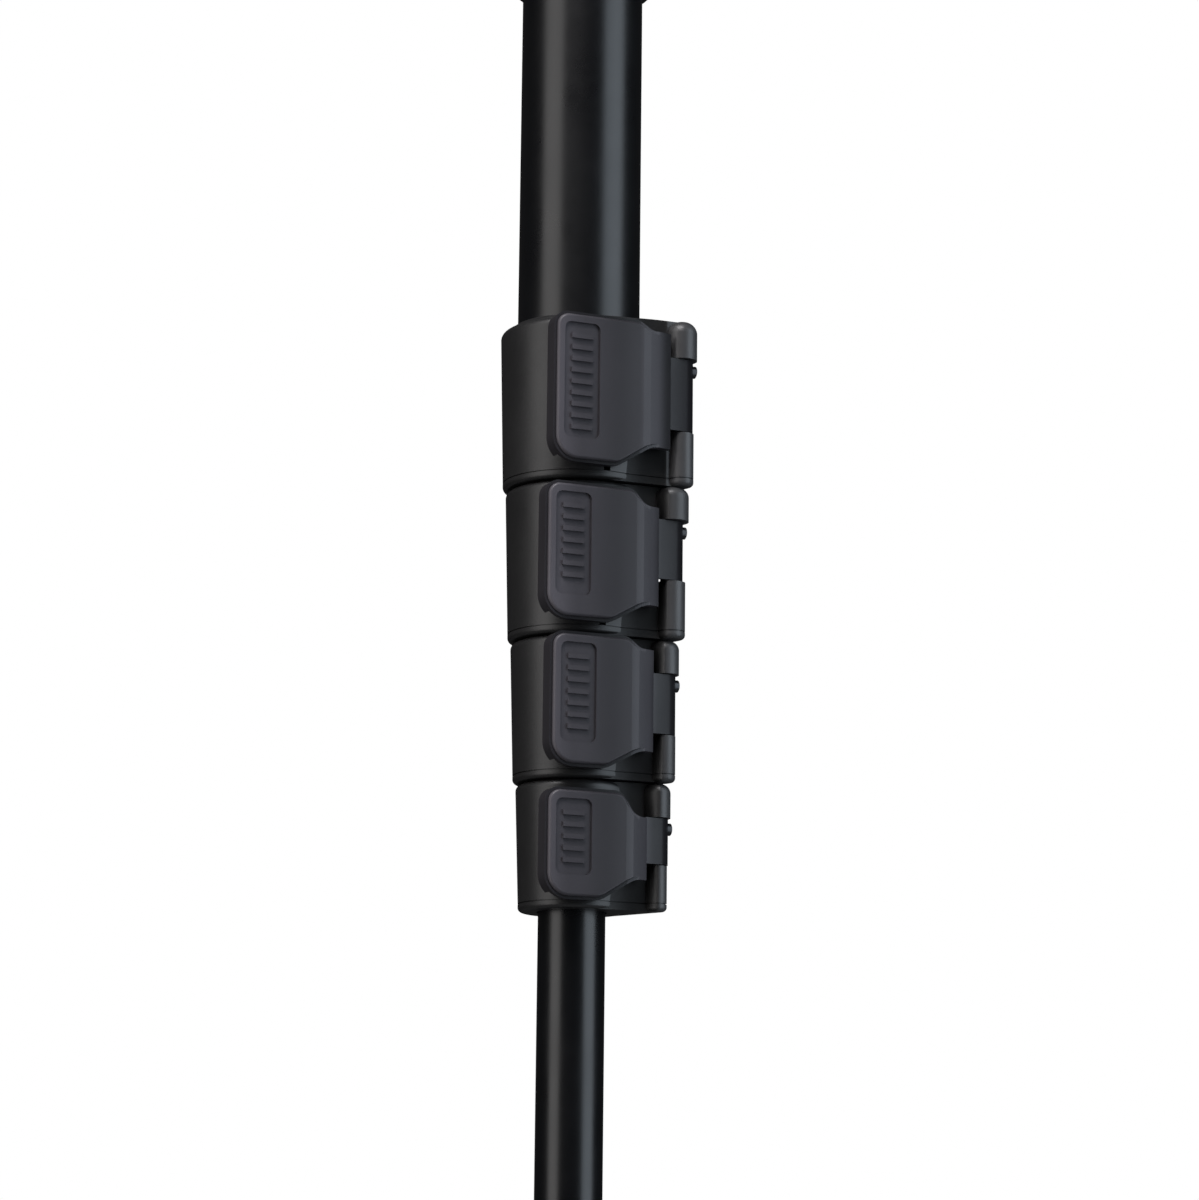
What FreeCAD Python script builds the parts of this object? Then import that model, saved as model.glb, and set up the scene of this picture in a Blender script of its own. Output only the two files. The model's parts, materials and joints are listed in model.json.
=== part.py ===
"""Five-section camera monopod with four flip locks, a foam grip and a screw-up rubber foot.

The origin is the centre of the camera platform's top face. +Z points up at the camera and
the leg runs down. The lever plates face -Y and their hinges lie on the +X side. The rest
pose has sections 2 to 4 pushed in and section 5 drawn out. Sizes are in millimetres.
"""
import FreeCAD
import Part
import math
import os
import Sketcher

SECTIONS = (1, 2, 3, 4, 5)
LOCKS = (1, 2, 3, 4)

SIZES = {
    # Camera platform, from the pad's top face downwards
    "pad_thickness": 2.0,
    "pad_radius": 27.0,
    "platform_thickness": 6.0,
    "platform_radius": 28.0,
    "stud_radius": 4.7625,
    "stud_length": 9.5,
    "stud_tip_chamfer": 0.8,
    "stud_relief_depth": 1.5,
    "stud_relief_radius": 4.0,
    "small_stud_radius": 3.175,
    "small_stud_length": 10.0,
    "thread_play": 0.05,
    "set_screw_radius": 2.0,
    "set_screw_recess": 0.5,
    # Top cap and grip
    "cap_flange_thickness": 4.0,
    "cap_height": 22.0,
    "cap_top_radius": 25.0,
    "cap_skirt_radius": 23.6,
    "cap_plug_depth": 12.0,
    "grip_length": 190.0,
    "grip_radius": 23.2,
    "grip_ring_height": 5.0,
    "grip_ring_radius": 21.4,
    "soft_edge": 2.0,
    "bare_tube": 108.0,
    # Sections
    "tube_radius_1": 18.2,
    "tube_radius_2": 16.1,
    "tube_radius_3": 14.0,
    "tube_radius_4": 11.9,
    "tube_radius_5": 9.8,
    "tube_wall": 1.2,
    "tube_edge": 0.3,
    "tube_top_2": 12.0,
    "tube_top_3": 58.7,
    "tube_top_4": 103.7,
    "tube_top_5": 142.8,
    "drawn_out": 100.0,
    "bush_length": 22.0,
    "bush_play": 0.1,
    "bush_cap": 1.5,
    # Locks
    "lock_height_1": 48.2,
    "lock_height_2": 45.1,
    "lock_height_3": 41.6,
    "lock_height_4": 37.1,
    "socket_depth_1": 20.0,
    "socket_depth_2": 18.0,
    "socket_depth_3": 17.0,
    "socket_depth_4": 14.3,
    "stack_gap": 0.3,
    "collar_top_wall": 5.0,
    "collar_low_wall": 3.8,
    "collar_edge": 2.0,
    "web_inset": 0.4,
    "groove_height": 0.35,
    "groove_depth": 0.4,
    "ring_height": 2.4,
    "ring_edge": 1.3,
    "ring_play": 0.4,
    "liner_play": 0.05,
    "liner_slot": 2.4,
    "liner_end_play": 0.1,
    "split_width": 2.0,
    "split_top": 5.0,
    # Hinge of each lever
    "pin_ahead": 2.8,
    "pin_side_1": 24.3,
    "pin_side_2": 22.3,
    "pin_side_3": 21.2,
    "pin_side_4": 20.1,
    "boss_radius_1": 3.6,
    "boss_radius_2": 4.1,
    "boss_radius_3": 3.4,
    "boss_radius_4": 3.1,
    "upper_boss_extra": 0.9,
    "boss_edge_1": 3.8,
    "boss_edge_2": 2.8,
    "boss_edge_3": 2.8,
    "boss_edge_4": 2.8,
    "knuckle_radius": 3.3,
    "upper_lug": 10.0,
    "lug_rise_1": 1.8,
    "lug_rise_2": 0.0,
    "lug_rise_3": 0.0,
    "lug_rise_4": 0.0,
    "knuckle_height_1": 21.8,
    "knuckle_height_2": 17.7,
    "knuckle_height_3": 17.6,
    "knuckle_height_4": 13.4,
    "knuckle_play": 0.25,
    "pin_radius": 1.5,
    "pin_play": 0.05,
    "pin_end": 0.6,
    # Lever plate
    "plate_left_1": 19.0,
    "plate_left_2": 20.2,
    "plate_left_3": 17.2,
    "plate_left_4": 17.2,
    "plate_ridge_1": 10.4,
    "plate_ridge_2": 9.6,
    "plate_ridge_3": 9.4,
    "plate_ridge_4": 9.0,
    "plate_drop_1": 0.5,
    "plate_drop_2": 2.1,
    "plate_drop_3": 0.3,
    "plate_drop_4": 3.3,
    "plate_height_1": 44.7,
    "plate_height_2": 40.5,
    "plate_height_3": 39.2,
    "plate_height_4": 32.1,
    "plate_proud": 6.0,
    "plate_thickness": 3.0,
    "plate_depth": 5.9,
    "plate_rim": 2.4,
    "plate_corner": 4.5,
    "plate_low_corner": 7.5,
    "plate_edge": 0.8,
    "border_width": 0.9,
    "border_depth": 1.1,
    "neck_drop_1": 2.8,
    "neck_drop_2": 5.0,
    "neck_drop_3": 3.4,
    "neck_drop_4": 7.2,
    "neck_rise_1": 7.0,
    "neck_rise_2": 6.2,
    "neck_rise_3": 6.0,
    "neck_rise_4": 6.8,
    "neck_slant": 8.9,
    "neck_fall": 2.2,
    "neck_proud": 0.3,
    "neck_gap": 0.3,
    "neck_play": 0.9,
    "ridge_band": 1.2,
    "ridge_drop": 0.3,
    "panel_inset": 3.0,
    "panel_width": 11.2,
    "panel_top": 3.3,
    "panel_bottom": 7.0,
    "panel_depth": 0.7,
    "panel_corner": 2.0,
    "rib_width": 6.6,
    "rib_height": 1.4,
    "rib_pitch": 3.4,
    # Draw bolt, its eccentric and its nut
    "eccentricity": 0.3,
    "eccentric_step": 0.05,
    "eye_play": 0.12,
    "eye_wall": 0.6,
    "eye_height": 3.6,
    "eye_slot_play": 0.35,
    "bolt_radius": 1.25,
    "bolt_play": 0.2,
    "bolt_reach": 11.2,
    "flange_front": 1.9,
    "flange_back": 3.0,
    "flange_height": 12.0,
    "flange_left": 12.0,
    "flange_play": 0.6,
    "nut_width": 5.4,
    "nut_thickness": 1.8,
    "nut_place": 9.9,
    "nut_play": 0.1,
    "draw_travel": 0.45,
    "screw_drop": 13.0,
    "screw_head_radius": 1.8,
    "screw_head_height": 1.7,
    "screw_reach": 4.2,
    "screw_shank_radius": 0.9,
    # Foot
    "plug_depth": 18.0,
    "plug_flange": 3.0,
    "spike_radius": 4.0,
    "spike_hold": 12.0,
    "spike_drop": 26.0,
    "spike_tip": 8.0,
    "spike_tip_radius": 0.6,
    "insert_radius": 7.5,
    "insert_height": 8.0,
    "insert_drop": 16.0,
    "washer_height": 1.5,
    "washer_radius": 9.2,
    "foot_play": 0.5,
    "foot_travel": 10.0,
    "foot_cover": 5.0,
    "foot_height": 43.0,
    "foot_top_radius": 13.0,
    "foot_radius": 17.5,
    "foot_base_height": 12.0,
    "foot_edge": 1.5,
    "foot_mouth": 4.8,
    "foot_groove_pitch": 3.6,
    "foot_groove_depth": 0.8,
}
LAST = 5
FOOT_GROOVES = 5
HALF = 0.5
SAME = 0.02
NEAR = 0.1
SHORT_EDGE = 1.0
QUARTER_TURN = 90
FULL_TURN = 360


class Size:
    """A sum of named cells: str() gives its formula and float() its value."""

    def __init__(self, terms):
        self.terms = {name: factor for name, factor in terms.items() if factor}

    def __add__(self, other):
        names = {**self.terms, **other.terms}
        return Size({name: self.terms.get(name, 0) + other.terms.get(name, 0) for name in names})

    def __mul__(self, factor):
        return Size({name: factor * own for name, own in self.terms.items()})

    def __neg__(self):
        return self * -1

    def __sub__(self, other):
        return self + -other

    def __str__(self):
        return " + ".join(f"{factor} * sizes.{name}" for name, factor in self.terms.items()) or "0"

    def __float__(self):
        return float(sum(factor * SIZES[name] for name, factor in self.terms.items()))


def size(name):
    """One named cell of the sheet."""
    return Size({name: 1})


ZERO = Size({})

doc = FreeCAD.newDocument("monopod")
sheet = doc.addObject("Spreadsheet::Sheet", "sizes")
for row, (alias, number) in enumerate(SIZES.items(), start=1):
    sheet.set(f"A{row}", alias)
    sheet.set(f"B{row}", str(number))
    sheet.setAlias(f"B{row}", alias)
doc.recompute()

kept = []


def keep(piece, label):
    """Mark an object as a finished sub-part and give it its file's name."""
    piece.Label = label
    kept.append(piece)
    return piece


def bind(piece, **formulas):
    """Bind properties to sums of cells. Two underscores stand for a dot."""
    for name, formula in formulas.items():
        piece.setExpression(name.replace("__", "."), str(formula))


def place(piece, x=ZERO, y=ZERO, z=ZERO):
    bind(piece, Placement__Base__x=x, Placement__Base__y=y, Placement__Base__z=z)


def cylinder(radius, low, high, x=ZERO, y=ZERO):
    """Upright cylinder between two heights."""
    piece = doc.addObject("Part::Cylinder", "cylinder")
    bind(piece, Radius=radius, Height=high - low)
    place(piece, x, y, low)
    return piece


def cross_cylinder(radius, left, right, y, z):
    """Cylinder along X."""
    piece = doc.addObject("Part::Cylinder", "cross_cylinder")
    piece.Placement.Rotation = FreeCAD.Rotation(FreeCAD.Vector(0, 1, 0), QUARTER_TURN)
    bind(piece, Radius=radius, Height=right - left)
    place(piece, left, y, z)
    return piece


def cone(low_radius, high_radius, low, high):
    """Upright cone between two heights on the leg's axis."""
    piece = doc.addObject("Part::Cone", "cone")
    bind(piece, Radius1=low_radius, Radius2=high_radius, Height=high - low)
    place(piece, z=low)
    return piece


def box(left, right, front, back, low, high):
    """Box between two limits on each axis."""
    piece = doc.addObject("Part::Box", "box")
    bind(piece, Length=right - left, Width=back - front, Height=high - low)
    place(piece, left, front, low)
    return piece


def fuse(*pieces):
    joined = doc.addObject("Part::MultiFuse", "joined")
    joined.Shapes = list(pieces)
    joined.Refine = True
    return joined


def cut(base, *tools):
    """Base less every tool."""
    result = doc.addObject("Part::Cut", "cut")
    result.Base = base
    result.Tool = tools[0] if len(tools) == 1 else fuse(*tools)
    result.Refine = True
    return result


def edges_where(shape, test):
    """Numbers of the edges whose middle point and box pass a test."""
    numbers = []
    for number, edge in enumerate(shape.Edges, start=1):
        middle = edge.valueAt((edge.FirstParameter + edge.LastParameter) / 2)
        if test(edge, middle):
            numbers.append(number)
    return numbers


def round_edges(base, radius, test):
    """Fillet the edges of a Part object that pass a test."""
    doc.recompute()
    rounded = doc.addObject("Part::Fillet", "rounded")
    rounded.Base = base
    numbers = edges_where(base.Shape, test)
    rounded.Edges = [(number, float(radius), float(radius)) for number in numbers]
    return rounded


def close_to(value, target, slack=SAME):
    return abs(value - float(target)) < slack


def level_edge(edge, height):
    """True when the whole edge lies at one height."""
    bounds = edge.BoundBox
    return close_to(bounds.ZMin, height) and close_to(bounds.ZMax, height)


def new_body(label):
    body = doc.addObject("PartDesign::Body", label)
    return keep(body, label)


def sketch_on(body, role, offset=None):
    """Empty sketch on one of the body's own origin planes."""
    plane = next(item for item in body.Origin.OriginFeatures if item.Role == role)
    sketch = body.newObject("Sketcher::SketchObject", "sketch")
    sketch.AttachmentSupport = (plane, [""])
    sketch.MapMode = "FlatFace"
    if offset is not None:
        bind(sketch, AttachmentOffset__Base__z=offset)
    return sketch


def hold(sketch, kind, targets, formula):
    """Add a driving dimension bound to the sheet."""
    index = sketch.addConstraint(Sketcher.Constraint(kind, *targets, float(formula)))
    sketch.setExpression(f"Constraints[{index}]", str(formula))


def polygon(sketch, corners):
    """Closed outline whose corners are held by their distances from the origin."""
    points = [FreeCAD.Vector(float(x), float(y), 0) for x, y in corners]
    first = sketch.GeometryCount
    count = len(corners)
    for start, end in zip(points, points[1:] + points[:1]):
        sketch.addGeometry(Part.LineSegment(start, end))
    for step in range(count):
        following = first + (step + 1) % count
        sketch.addConstraint(Sketcher.Constraint("Coincident", first + step, 2, following, 1))
    for step, (x, y) in enumerate(corners):
        hold(sketch, "DistanceX", (-1, 1, first + step, 1), x)
        hold(sketch, "DistanceY", (-1, 1, first + step, 1), y)


def circle(sketch, radius, x=ZERO, y=ZERO):
    centre = FreeCAD.Vector(float(x), float(y), 0)
    index = sketch.addGeometry(Part.Circle(centre, FreeCAD.Vector(0, 0, 1), float(radius)))
    hold(sketch, "Radius", (index,), radius)
    hold(sketch, "DistanceX", (-1, 1, index, 3), x)
    hold(sketch, "DistanceY", (-1, 1, index, 3), y)


def hull(sketch, radius, far_radius, x, y):
    """Outline round the origin's circle and a second circle, joined by tangent lines."""
    near, far = float(radius), float(far_radius)
    distance = math.hypot(float(x), float(y))
    heading = math.atan2(float(y), float(x))
    spread = math.acos((near - far) / distance)
    angles = (heading + spread, heading - spread)
    centre = FreeCAD.Vector(float(x), float(y), 0)
    up = FreeCAD.Vector(0, 0, 1)
    rays = [FreeCAD.Vector(math.cos(angle), math.sin(angle), 0) for angle in angles]
    big = Part.ArcOfCircle(Part.Circle(FreeCAD.Vector(), up, near), angles[0], angles[1] + 2 * math.pi)
    small = Part.ArcOfCircle(Part.Circle(centre, up, far), angles[1], angles[0])
    sketch.addGeometry(big)
    sketch.addGeometry(Part.LineSegment(rays[1] * near, centre + rays[1] * far))
    sketch.addGeometry(small)
    sketch.addGeometry(Part.LineSegment(centre + rays[0] * far, rays[0] * near))
    for one, end, other, start in ((0, 2, 1, 1), (1, 2, 2, 1), (2, 2, 3, 1), (3, 2, 0, 1)):
        sketch.addConstraint(Sketcher.Constraint("Tangent", one, end, other, start))
    sketch.addConstraint(Sketcher.Constraint("Coincident", 0, 3, -1, 1))
    hold(sketch, "Radius", (0,), radius)
    hold(sketch, "Radius", (2,), far_radius)
    hold(sketch, "DistanceX", (-1, 1, 2, 3), x)
    hold(sketch, "DistanceY", (-1, 1, 2, 3), y)


def pad(body, sketch, length, reverse=False):
    feature = body.newObject("PartDesign::Pad", "pad")
    feature.Profile = sketch
    feature.Reversed = reverse
    bind(feature, Length=length)
    return feature


def pocket(body, sketch, length=None, reverse=False):
    """Pocket of a given length, or right through both ways."""
    before = volume(body)
    feature = body.newObject("PartDesign::Pocket", "pocket")
    feature.Profile = sketch
    feature.Reversed = reverse
    if length is None:
        feature.Type = "ThroughAll"
        feature.Midplane = True
    else:
        bind(feature, Length=length)
    if volume(body) >= before:
        raise RuntimeError(f"a pocket of {body.Label} cuts nothing")
    return feature


def volume(body):
    doc.recompute()
    return body.Shape.Volume


def revolve(body, corners):
    """Solid of revolution from (radius, height) corners."""
    sketch = sketch_on(body, "XZ_Plane")
    polygon(sketch, corners)
    feature = body.newObject("PartDesign::Revolution", "revolution")
    feature.Profile = sketch
    feature.ReferenceAxis = (sketch, ["V_Axis"])
    feature.Angle = FULL_TURN
    return feature


def fillet(body, radius, test):
    """Round the edges of a body's tip that pass a test."""
    doc.recompute()
    base = body.Tip
    names = [f"Edge{number}" for number in edges_where(base.Shape, test)]
    feature = body.newObject("PartDesign::Fillet", "fillet")
    feature.Base = (base, names)
    bind(feature, Radius=radius)
    return feature


def chamfer(body, width, test):
    """Break the edges of a body's tip that pass a test."""
    doc.recompute()
    base = body.Tip
    names = [f"Edge{number}" for number in edges_where(base.Shape, test)]
    feature = body.newObject("PartDesign::Chamfer", "chamfer")
    feature.Base = (base, names)
    bind(feature, Size=width)
    return feature


def turned(label, corners, z=ZERO):
    """A turned piece as a body of its own, placed at a height."""
    body = new_body(label)
    revolve(body, corners)
    place(body, z=z)
    return body


# Heights that several pieces share, all below the platform's top face
cap_top = -size("pad_thickness") - size("platform_thickness")
tube_1_top = cap_top - size("cap_flange_thickness")
cap_low = cap_top - size("cap_height")
grip_low = cap_low - size("grip_length")
stack_top = grip_low - size("grip_ring_height") - size("bare_tube")

lock_top = {1: stack_top}
for lock in LOCKS[1:]:
    lock_top[lock] = lock_top[lock - 1] - size(f"lock_height_{lock - 1}") - size("stack_gap")
stack_low = lock_top[4] - size("lock_height_4")

tube_low = {lock: lock_top[lock] - size(f"socket_depth_{lock}") for lock in LOCKS}
foot_room = size("foot_cover") + size("foot_travel") + size("foot_play")
tube_low[LAST] = stack_low - foot_room - size("drawn_out")
tube_high = {1: tube_1_top}
for section in SECTIONS[1:]:
    tube_high[section] = tube_1_top - size(f"tube_top_{section}")
tube_high[LAST] = tube_high[LAST] - size("drawn_out")


def tube_radius(section):
    return size(f"tube_radius_{section}")


def tube_bore(section):
    return tube_radius(section) - size("tube_wall")


def make_platform():
    """Pad, disc, reversible stud and its grub screw."""
    pad_low = -size("pad_thickness")
    hole = size("stud_radius") + size("thread_play")
    turned("platform_pad", [
        (hole, pad_low), (size("pad_radius"), pad_low), (size("pad_radius"), ZERO), (hole, ZERO)])
    disc = new_body("platform_disc")
    revolve(disc, [
        (hole, cap_top), (size("platform_radius"), cap_top),
        (size("platform_radius"), pad_low), (hole, pad_low)])
    chamfer(disc, size("stud_tip_chamfer"), lambda edge, middle: close_to(
        math.hypot(middle.x, middle.y), size("platform_radius")) and edge.BoundBox.ZLength < SHORT_EDGE)
    screw_height = pad_low - size("platform_thickness") * HALF
    screw_start = size("stud_radius") + size("thread_play")
    side = sketch_on(disc, "YZ_Plane")
    circle(side, size("set_screw_radius"), ZERO, screw_height)
    pocket(disc, side, size("platform_radius"), reverse=True)

    screw_end = size("platform_radius") - size("set_screw_recess") - size("stud_tip_chamfer")
    screw = new_body("platform_set_screw")
    face = sketch_on(screw, "YZ_Plane", screw_start)
    circle(face, size("set_screw_radius"), ZERO, screw_height)
    pad(screw, face, screw_end - screw_start)

    tip = size("stud_radius") - size("stud_tip_chamfer")
    low = cap_top - size("small_stud_length")
    turned("camera_stud", [
        (ZERO, low), (size("small_stud_radius"), low), (size("small_stud_radius"), cap_top),
        (size("stud_radius"), cap_top), (size("stud_radius"), -size("stud_relief_depth")),
        (size("stud_relief_radius"), -size("stud_relief_depth")), (size("stud_relief_radius"), ZERO),
        (size("stud_radius"), ZERO), (size("stud_radius"), size("stud_length") - size("stud_tip_chamfer")),
        (tip, size("stud_length")), (ZERO, size("stud_length"))])


def make_cap():
    """Top cap, which closes section 1 and carries the platform."""
    hole = size("small_stud_radius") + size("thread_play")
    plug_low = tube_1_top - size("cap_plug_depth") + size("bush_cap")
    cap = new_body("top_cap")
    revolve(cap, [
        (hole, plug_low), (tube_bore(1), plug_low), (tube_bore(1), tube_1_top),
        (tube_radius(1), tube_1_top), (tube_radius(1), cap_low), (size("cap_skirt_radius"), cap_low),
        (size("cap_top_radius"), cap_top - size("cap_flange_thickness")),
        (size("cap_top_radius"), cap_top), (hole, cap_top)])
    fillet(cap, size("soft_edge") * HALF, lambda edge, middle: close_to(
        math.hypot(middle.x, middle.y), size("cap_top_radius")) and edge.BoundBox.ZLength < SHORT_EDGE)


def make_grip():
    """Foam sleeve and the ring that ends it."""
    grip = new_body("foam_grip")
    revolve(grip, [
        (tube_radius(1), grip_low), (size("grip_radius"), grip_low),
        (size("grip_radius"), cap_low), (tube_radius(1), cap_low)])
    fillet(grip, size("soft_edge"), lambda edge, middle: level_edge(edge, grip_low) and close_to(
        math.hypot(middle.x, middle.y), size("grip_radius")))
    ring_low = grip_low - size("grip_ring_height")
    ring = new_body("grip_ring")
    revolve(ring, [
        (tube_radius(1), ring_low), (size("grip_ring_radius"), ring_low),
        (size("grip_ring_radius"), grip_low), (tube_radius(1), grip_low)])
    fillet(ring, size("soft_edge"), lambda edge, middle: level_edge(edge, ring_low) and close_to(
        math.hypot(middle.x, middle.y), size("grip_ring_radius")))


def make_tube(section):
    """One drawn tube with broken outer edges."""
    low, high = tube_low[section], tube_high[section]
    body = new_body(f"tube_{section}")
    sketch = sketch_on(body, "XY_Plane")
    circle(sketch, tube_radius(section))
    circle(sketch, tube_bore(section))
    pad(body, sketch, high - low)
    chamfer(body, size("tube_edge"), lambda edge, middle: edge.BoundBox.ZLength < SHORT_EDGE and close_to(
        math.hypot(middle.x, middle.y), tube_radius(section)))
    place(body, z=low)


def make_bush(section):
    """Guide bush on the upper end of an inner section, which slides in the section outside it."""
    inner = tube_radius(section)
    outer = tube_bore(section - 1) - size("bush_play")
    low = tube_high[section] - size("bush_length")
    top = tube_high[section] + size("bush_cap")
    turned(f"guide_bush_{section}", [
        (inner, low), (outer, low), (outer, top), (tube_bore(section), top),
        (tube_bore(section), tube_high[section]), (inner, tube_high[section])])


class Lock:
    """One flip lock: places and sizes shared by its eight pieces."""

    def __init__(self, number):
        self.number = number
        self.top = lock_top[number]
        self.height = size(f"lock_height_{number}")
        self.bore = tube_radius(number)
        self.top_radius = self.bore + size("collar_top_wall")
        self.low_radius = self.bore + size("collar_low_wall")
        self.body_low = size("ring_height") - self.height
        self.pin_x = size(f"pin_side_{number}")
        self.pin_y = -self.bore - size("pin_ahead")
        self.boss = size(f"boss_radius_{number}")
        self.upper_boss = self.boss + size("upper_boss_extra")
        self.knuckle = size("knuckle_radius")
        self.knuckle_top = -size("upper_lug") - size("knuckle_play")
        self.knuckle_low = self.knuckle_top - size(f"knuckle_height_{number}")
        self.lug_top = self.knuckle_low - size("knuckle_play")
        self.bolt_z = (self.knuckle_top + self.knuckle_low) * HALF
        self.plate_y = self.pin_y - size("plate_proud")
        self.plate_left = -size(f"plate_left_{number}")
        self.ridge = size(f"plate_ridge_{number}")
        self.plate_top = -size(f"plate_drop_{number}")
        self.plate_low = self.plate_top - size(f"plate_height_{number}")
        self.neck_top = self.plate_top - size(f"neck_drop_{number}")
        self.neck_low = self.plate_low + size(f"neck_rise_{number}")
        self.neck_end = self.pin_x - self.upper_boss - size("neck_play")
        self.screw_z = -size("screw_drop")
        self.neck_front = self.pin_y - self.knuckle - size("neck_proud")
        self.flange_front = self.pin_y - size("flange_front")
        self.neck_back = self.flange_front - size("neck_gap")
        self.eccentric = size("pin_radius") - size("eccentricity") - size("eccentric_step")

    def label(self, name):
        return f"{name}_{self.number}"

    def finish(self, piece, name):
        """Place a finished piece at the lock's height and keep it."""
        place(piece, z=self.top)
        return keep(piece, self.label(name))

    def lug(self, low, high, radius, inset=ZERO, rounded=None, edge_radius=ZERO):
        """Hinge boss and the web that joins it to the collar, with one end's edge rounded."""
        web = doc.addObject("PartDesign::Body", "web")
        sketch = sketch_on(web, "XY_Plane")
        hull(sketch, self.low_radius - size("web_inset") - inset, radius, self.pin_x, self.pin_y)
        pad(web, sketch, high - low)
        boss = cylinder(radius, low, high, self.pin_x, self.pin_y)
        if rounded is not None:
            fillet(web, edge_radius, lambda edge, middle: level_edge(edge, rounded - low))
            boss = round_edges(boss, edge_radius, lambda edge, middle: level_edge(edge, rounded))
        front = sketch_on(web, "XY_Plane")
        ahead = self.plate_y - radius
        back = self.pin_y + inset
        polygon(front, [
            (-self.top_radius, ahead), (self.pin_x, ahead), (self.pin_x, back),
            (-self.top_radius, back)])
        pocket(web, front)
        place(web, z=low)
        return web, boss

    def make_collar(self):
        """Collar with hinge lugs, draw flanges, split and bolt hole."""
        shell = round_edges(
            cone(self.low_radius, self.top_radius, self.body_low, ZERO), size("collar_edge"),
            lambda edge, middle: level_edge(edge, ZERO))
        rise = size(self.label("lug_rise"))
        upper = self.lug(
            -size("upper_lug"), rise, self.upper_boss, rounded=rise,
            edge_radius=size(self.label("boss_edge")))
        lower = self.lug(self.body_low, self.lug_top, self.boss)
        back = self.pin_y + size("flange_back")
        half = size("flange_height") * HALF
        face = self.pin_x - self.upper_boss - size("flange_play")
        flange = box(
            -size("flange_left"), face, self.flange_front, back,
            self.bolt_z - half, self.bolt_z + half)
        solid = fuse(shell, *upper, *lower, flange)
        window = cylinder(
            self.upper_boss + size("knuckle_play"), self.lug_top, -size("upper_lug"),
            self.pin_x, self.pin_y)
        bore = cylinder(self.bore, self.body_low, rise)
        half_split = size("split_width") * HALF
        split = box(-half_split, half_split, self.plate_y, ZERO, self.body_low, -size("split_top"))
        hinge = cylinder(
            size("pin_radius") + size("pin_play"), self.body_low + size("pin_end"),
            -size("pin_end"), self.pin_x, self.pin_y)
        bolt = cross_cylinder(
            size("bolt_radius") + size("bolt_play"), -size("flange_left"), self.pin_x,
            self.pin_y, self.bolt_z)
        nut_half = size("nut_width") * HALF + size("nut_play")
        nut_right = -size("nut_place") + size("nut_thickness") + size("nut_play") * HALF
        nut_left = -size("nut_place") - size("draw_travel") - size("nut_play")
        nut = box(
            nut_left, nut_right, self.plate_y, self.pin_y + nut_half,
            self.bolt_z - nut_half, self.bolt_z + nut_half)
        opened = cut(solid, window, bore, split, hinge, bolt, nut)
        self.finish(opened, "lock_collar")

    def make_ring(self):
        """Retaining ring under the collar, which holds the liner in."""
        low = -self.height
        groove_low = self.body_low - size("groove_height")
        plate = round_edges(
            cylinder(self.low_radius, low, groove_low), size("ring_edge"),
            lambda edge, middle: level_edge(edge, low))
        groove = cylinder(self.low_radius - size("groove_depth"), groove_low, self.body_low)
        lower = self.lug(low, groove_low, self.boss, rounded=low, edge_radius=size("ring_edge"))
        inset = size("groove_depth")
        upper = self.lug(groove_low, self.body_low, self.boss - inset, inset)
        hole = cylinder(tube_radius(self.number + 1) + size("ring_play"), low, self.body_low)
        self.finish(cut(fuse(plate, groove, *lower, *upper), hole), "retaining_ring")

    def make_liner(self):
        """Split liner that grips the next section."""
        low = self.top + self.body_low
        body = new_body(self.label("grip_liner"))
        sketch = sketch_on(body, "XY_Plane")
        circle(sketch, self.bore)
        circle(sketch, tube_radius(self.number + 1) + size("liner_play"))
        pad(body, sketch, tube_low[self.number] - size("liner_end_play") - low)
        gap = sketch_on(body, "XY_Plane")
        half = size("liner_slot") * HALF
        polygon(gap, [
            (-half, -self.top_radius), (half, -self.top_radius), (half, ZERO), (-half, ZERO)])
        pocket(body, gap)
        place(body, z=low)

    def make_lever(self):
        """Lever: plate with a finger rim, sloped neck, knuckle and recessed panel."""
        body = new_body(self.label("lock_lever"))
        rim_y = self.plate_y + size("plate_depth")
        front = sketch_on(body, "XZ_Plane", -rim_y)
        polygon(front, self.plate_outline(ZERO))
        pad(body, front, size("plate_depth"))
        border_y = self.plate_y + size("border_depth")
        border = sketch_on(body, "XZ_Plane", -border_y)
        outside = size("border_width")
        polygon(border, [
            (self.plate_left - outside, self.plate_top + outside),
            (self.neck_end + outside, self.plate_top + outside),
            (self.neck_end + outside, self.plate_low - outside),
            (self.plate_left - outside, self.plate_low - outside)])
        polygon(border, self.plate_outline(outside))
        pocket(body, border, size("border_depth") * 2, reverse=True)
        self.round_corners(body, border_y, outside)
        self.round_corners(body, rim_y, ZERO)
        fillet(body, size("plate_edge"), lambda edge, middle: close_to(
            middle.y, self.plate_y) and edge.BoundBox.YLength < NEAR)
        self.slope_neck(body)
        self.hollow_back(body)
        self.add_knuckle(body)
        self.add_panel(body)
        place(body, z=self.top)

    def plate_outline(self, inset):
        """Corners of the plate and its neck, drawn in on every side but the neck's end."""
        fall, slant = size("neck_fall"), size("neck_slant")
        left, top, low = self.plate_left + inset, self.plate_top - inset, self.plate_low + inset
        return [
            (left, top), (self.ridge - fall, top), (self.ridge + fall, self.neck_top - inset),
            (self.neck_end, self.neck_top - inset), (self.neck_end, self.neck_low + inset),
            (self.ridge + fall, self.neck_low + inset), (self.ridge - slant, low), (left, low)]

    def round_corners(self, body, back, inset):
        """Round the plate's corners in front of a depth, the lower ones more."""
        middle_z = float((self.plate_top + self.plate_low) * HALF)
        last_x = float(self.ridge + size("neck_fall")) + NEAR

        def is_corner(edge, middle):
            return edge.BoundBox.YLength > NEAR and middle.y < float(back) and middle.x < last_x and (
                close_to(edge.BoundBox.YMax, back))

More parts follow.
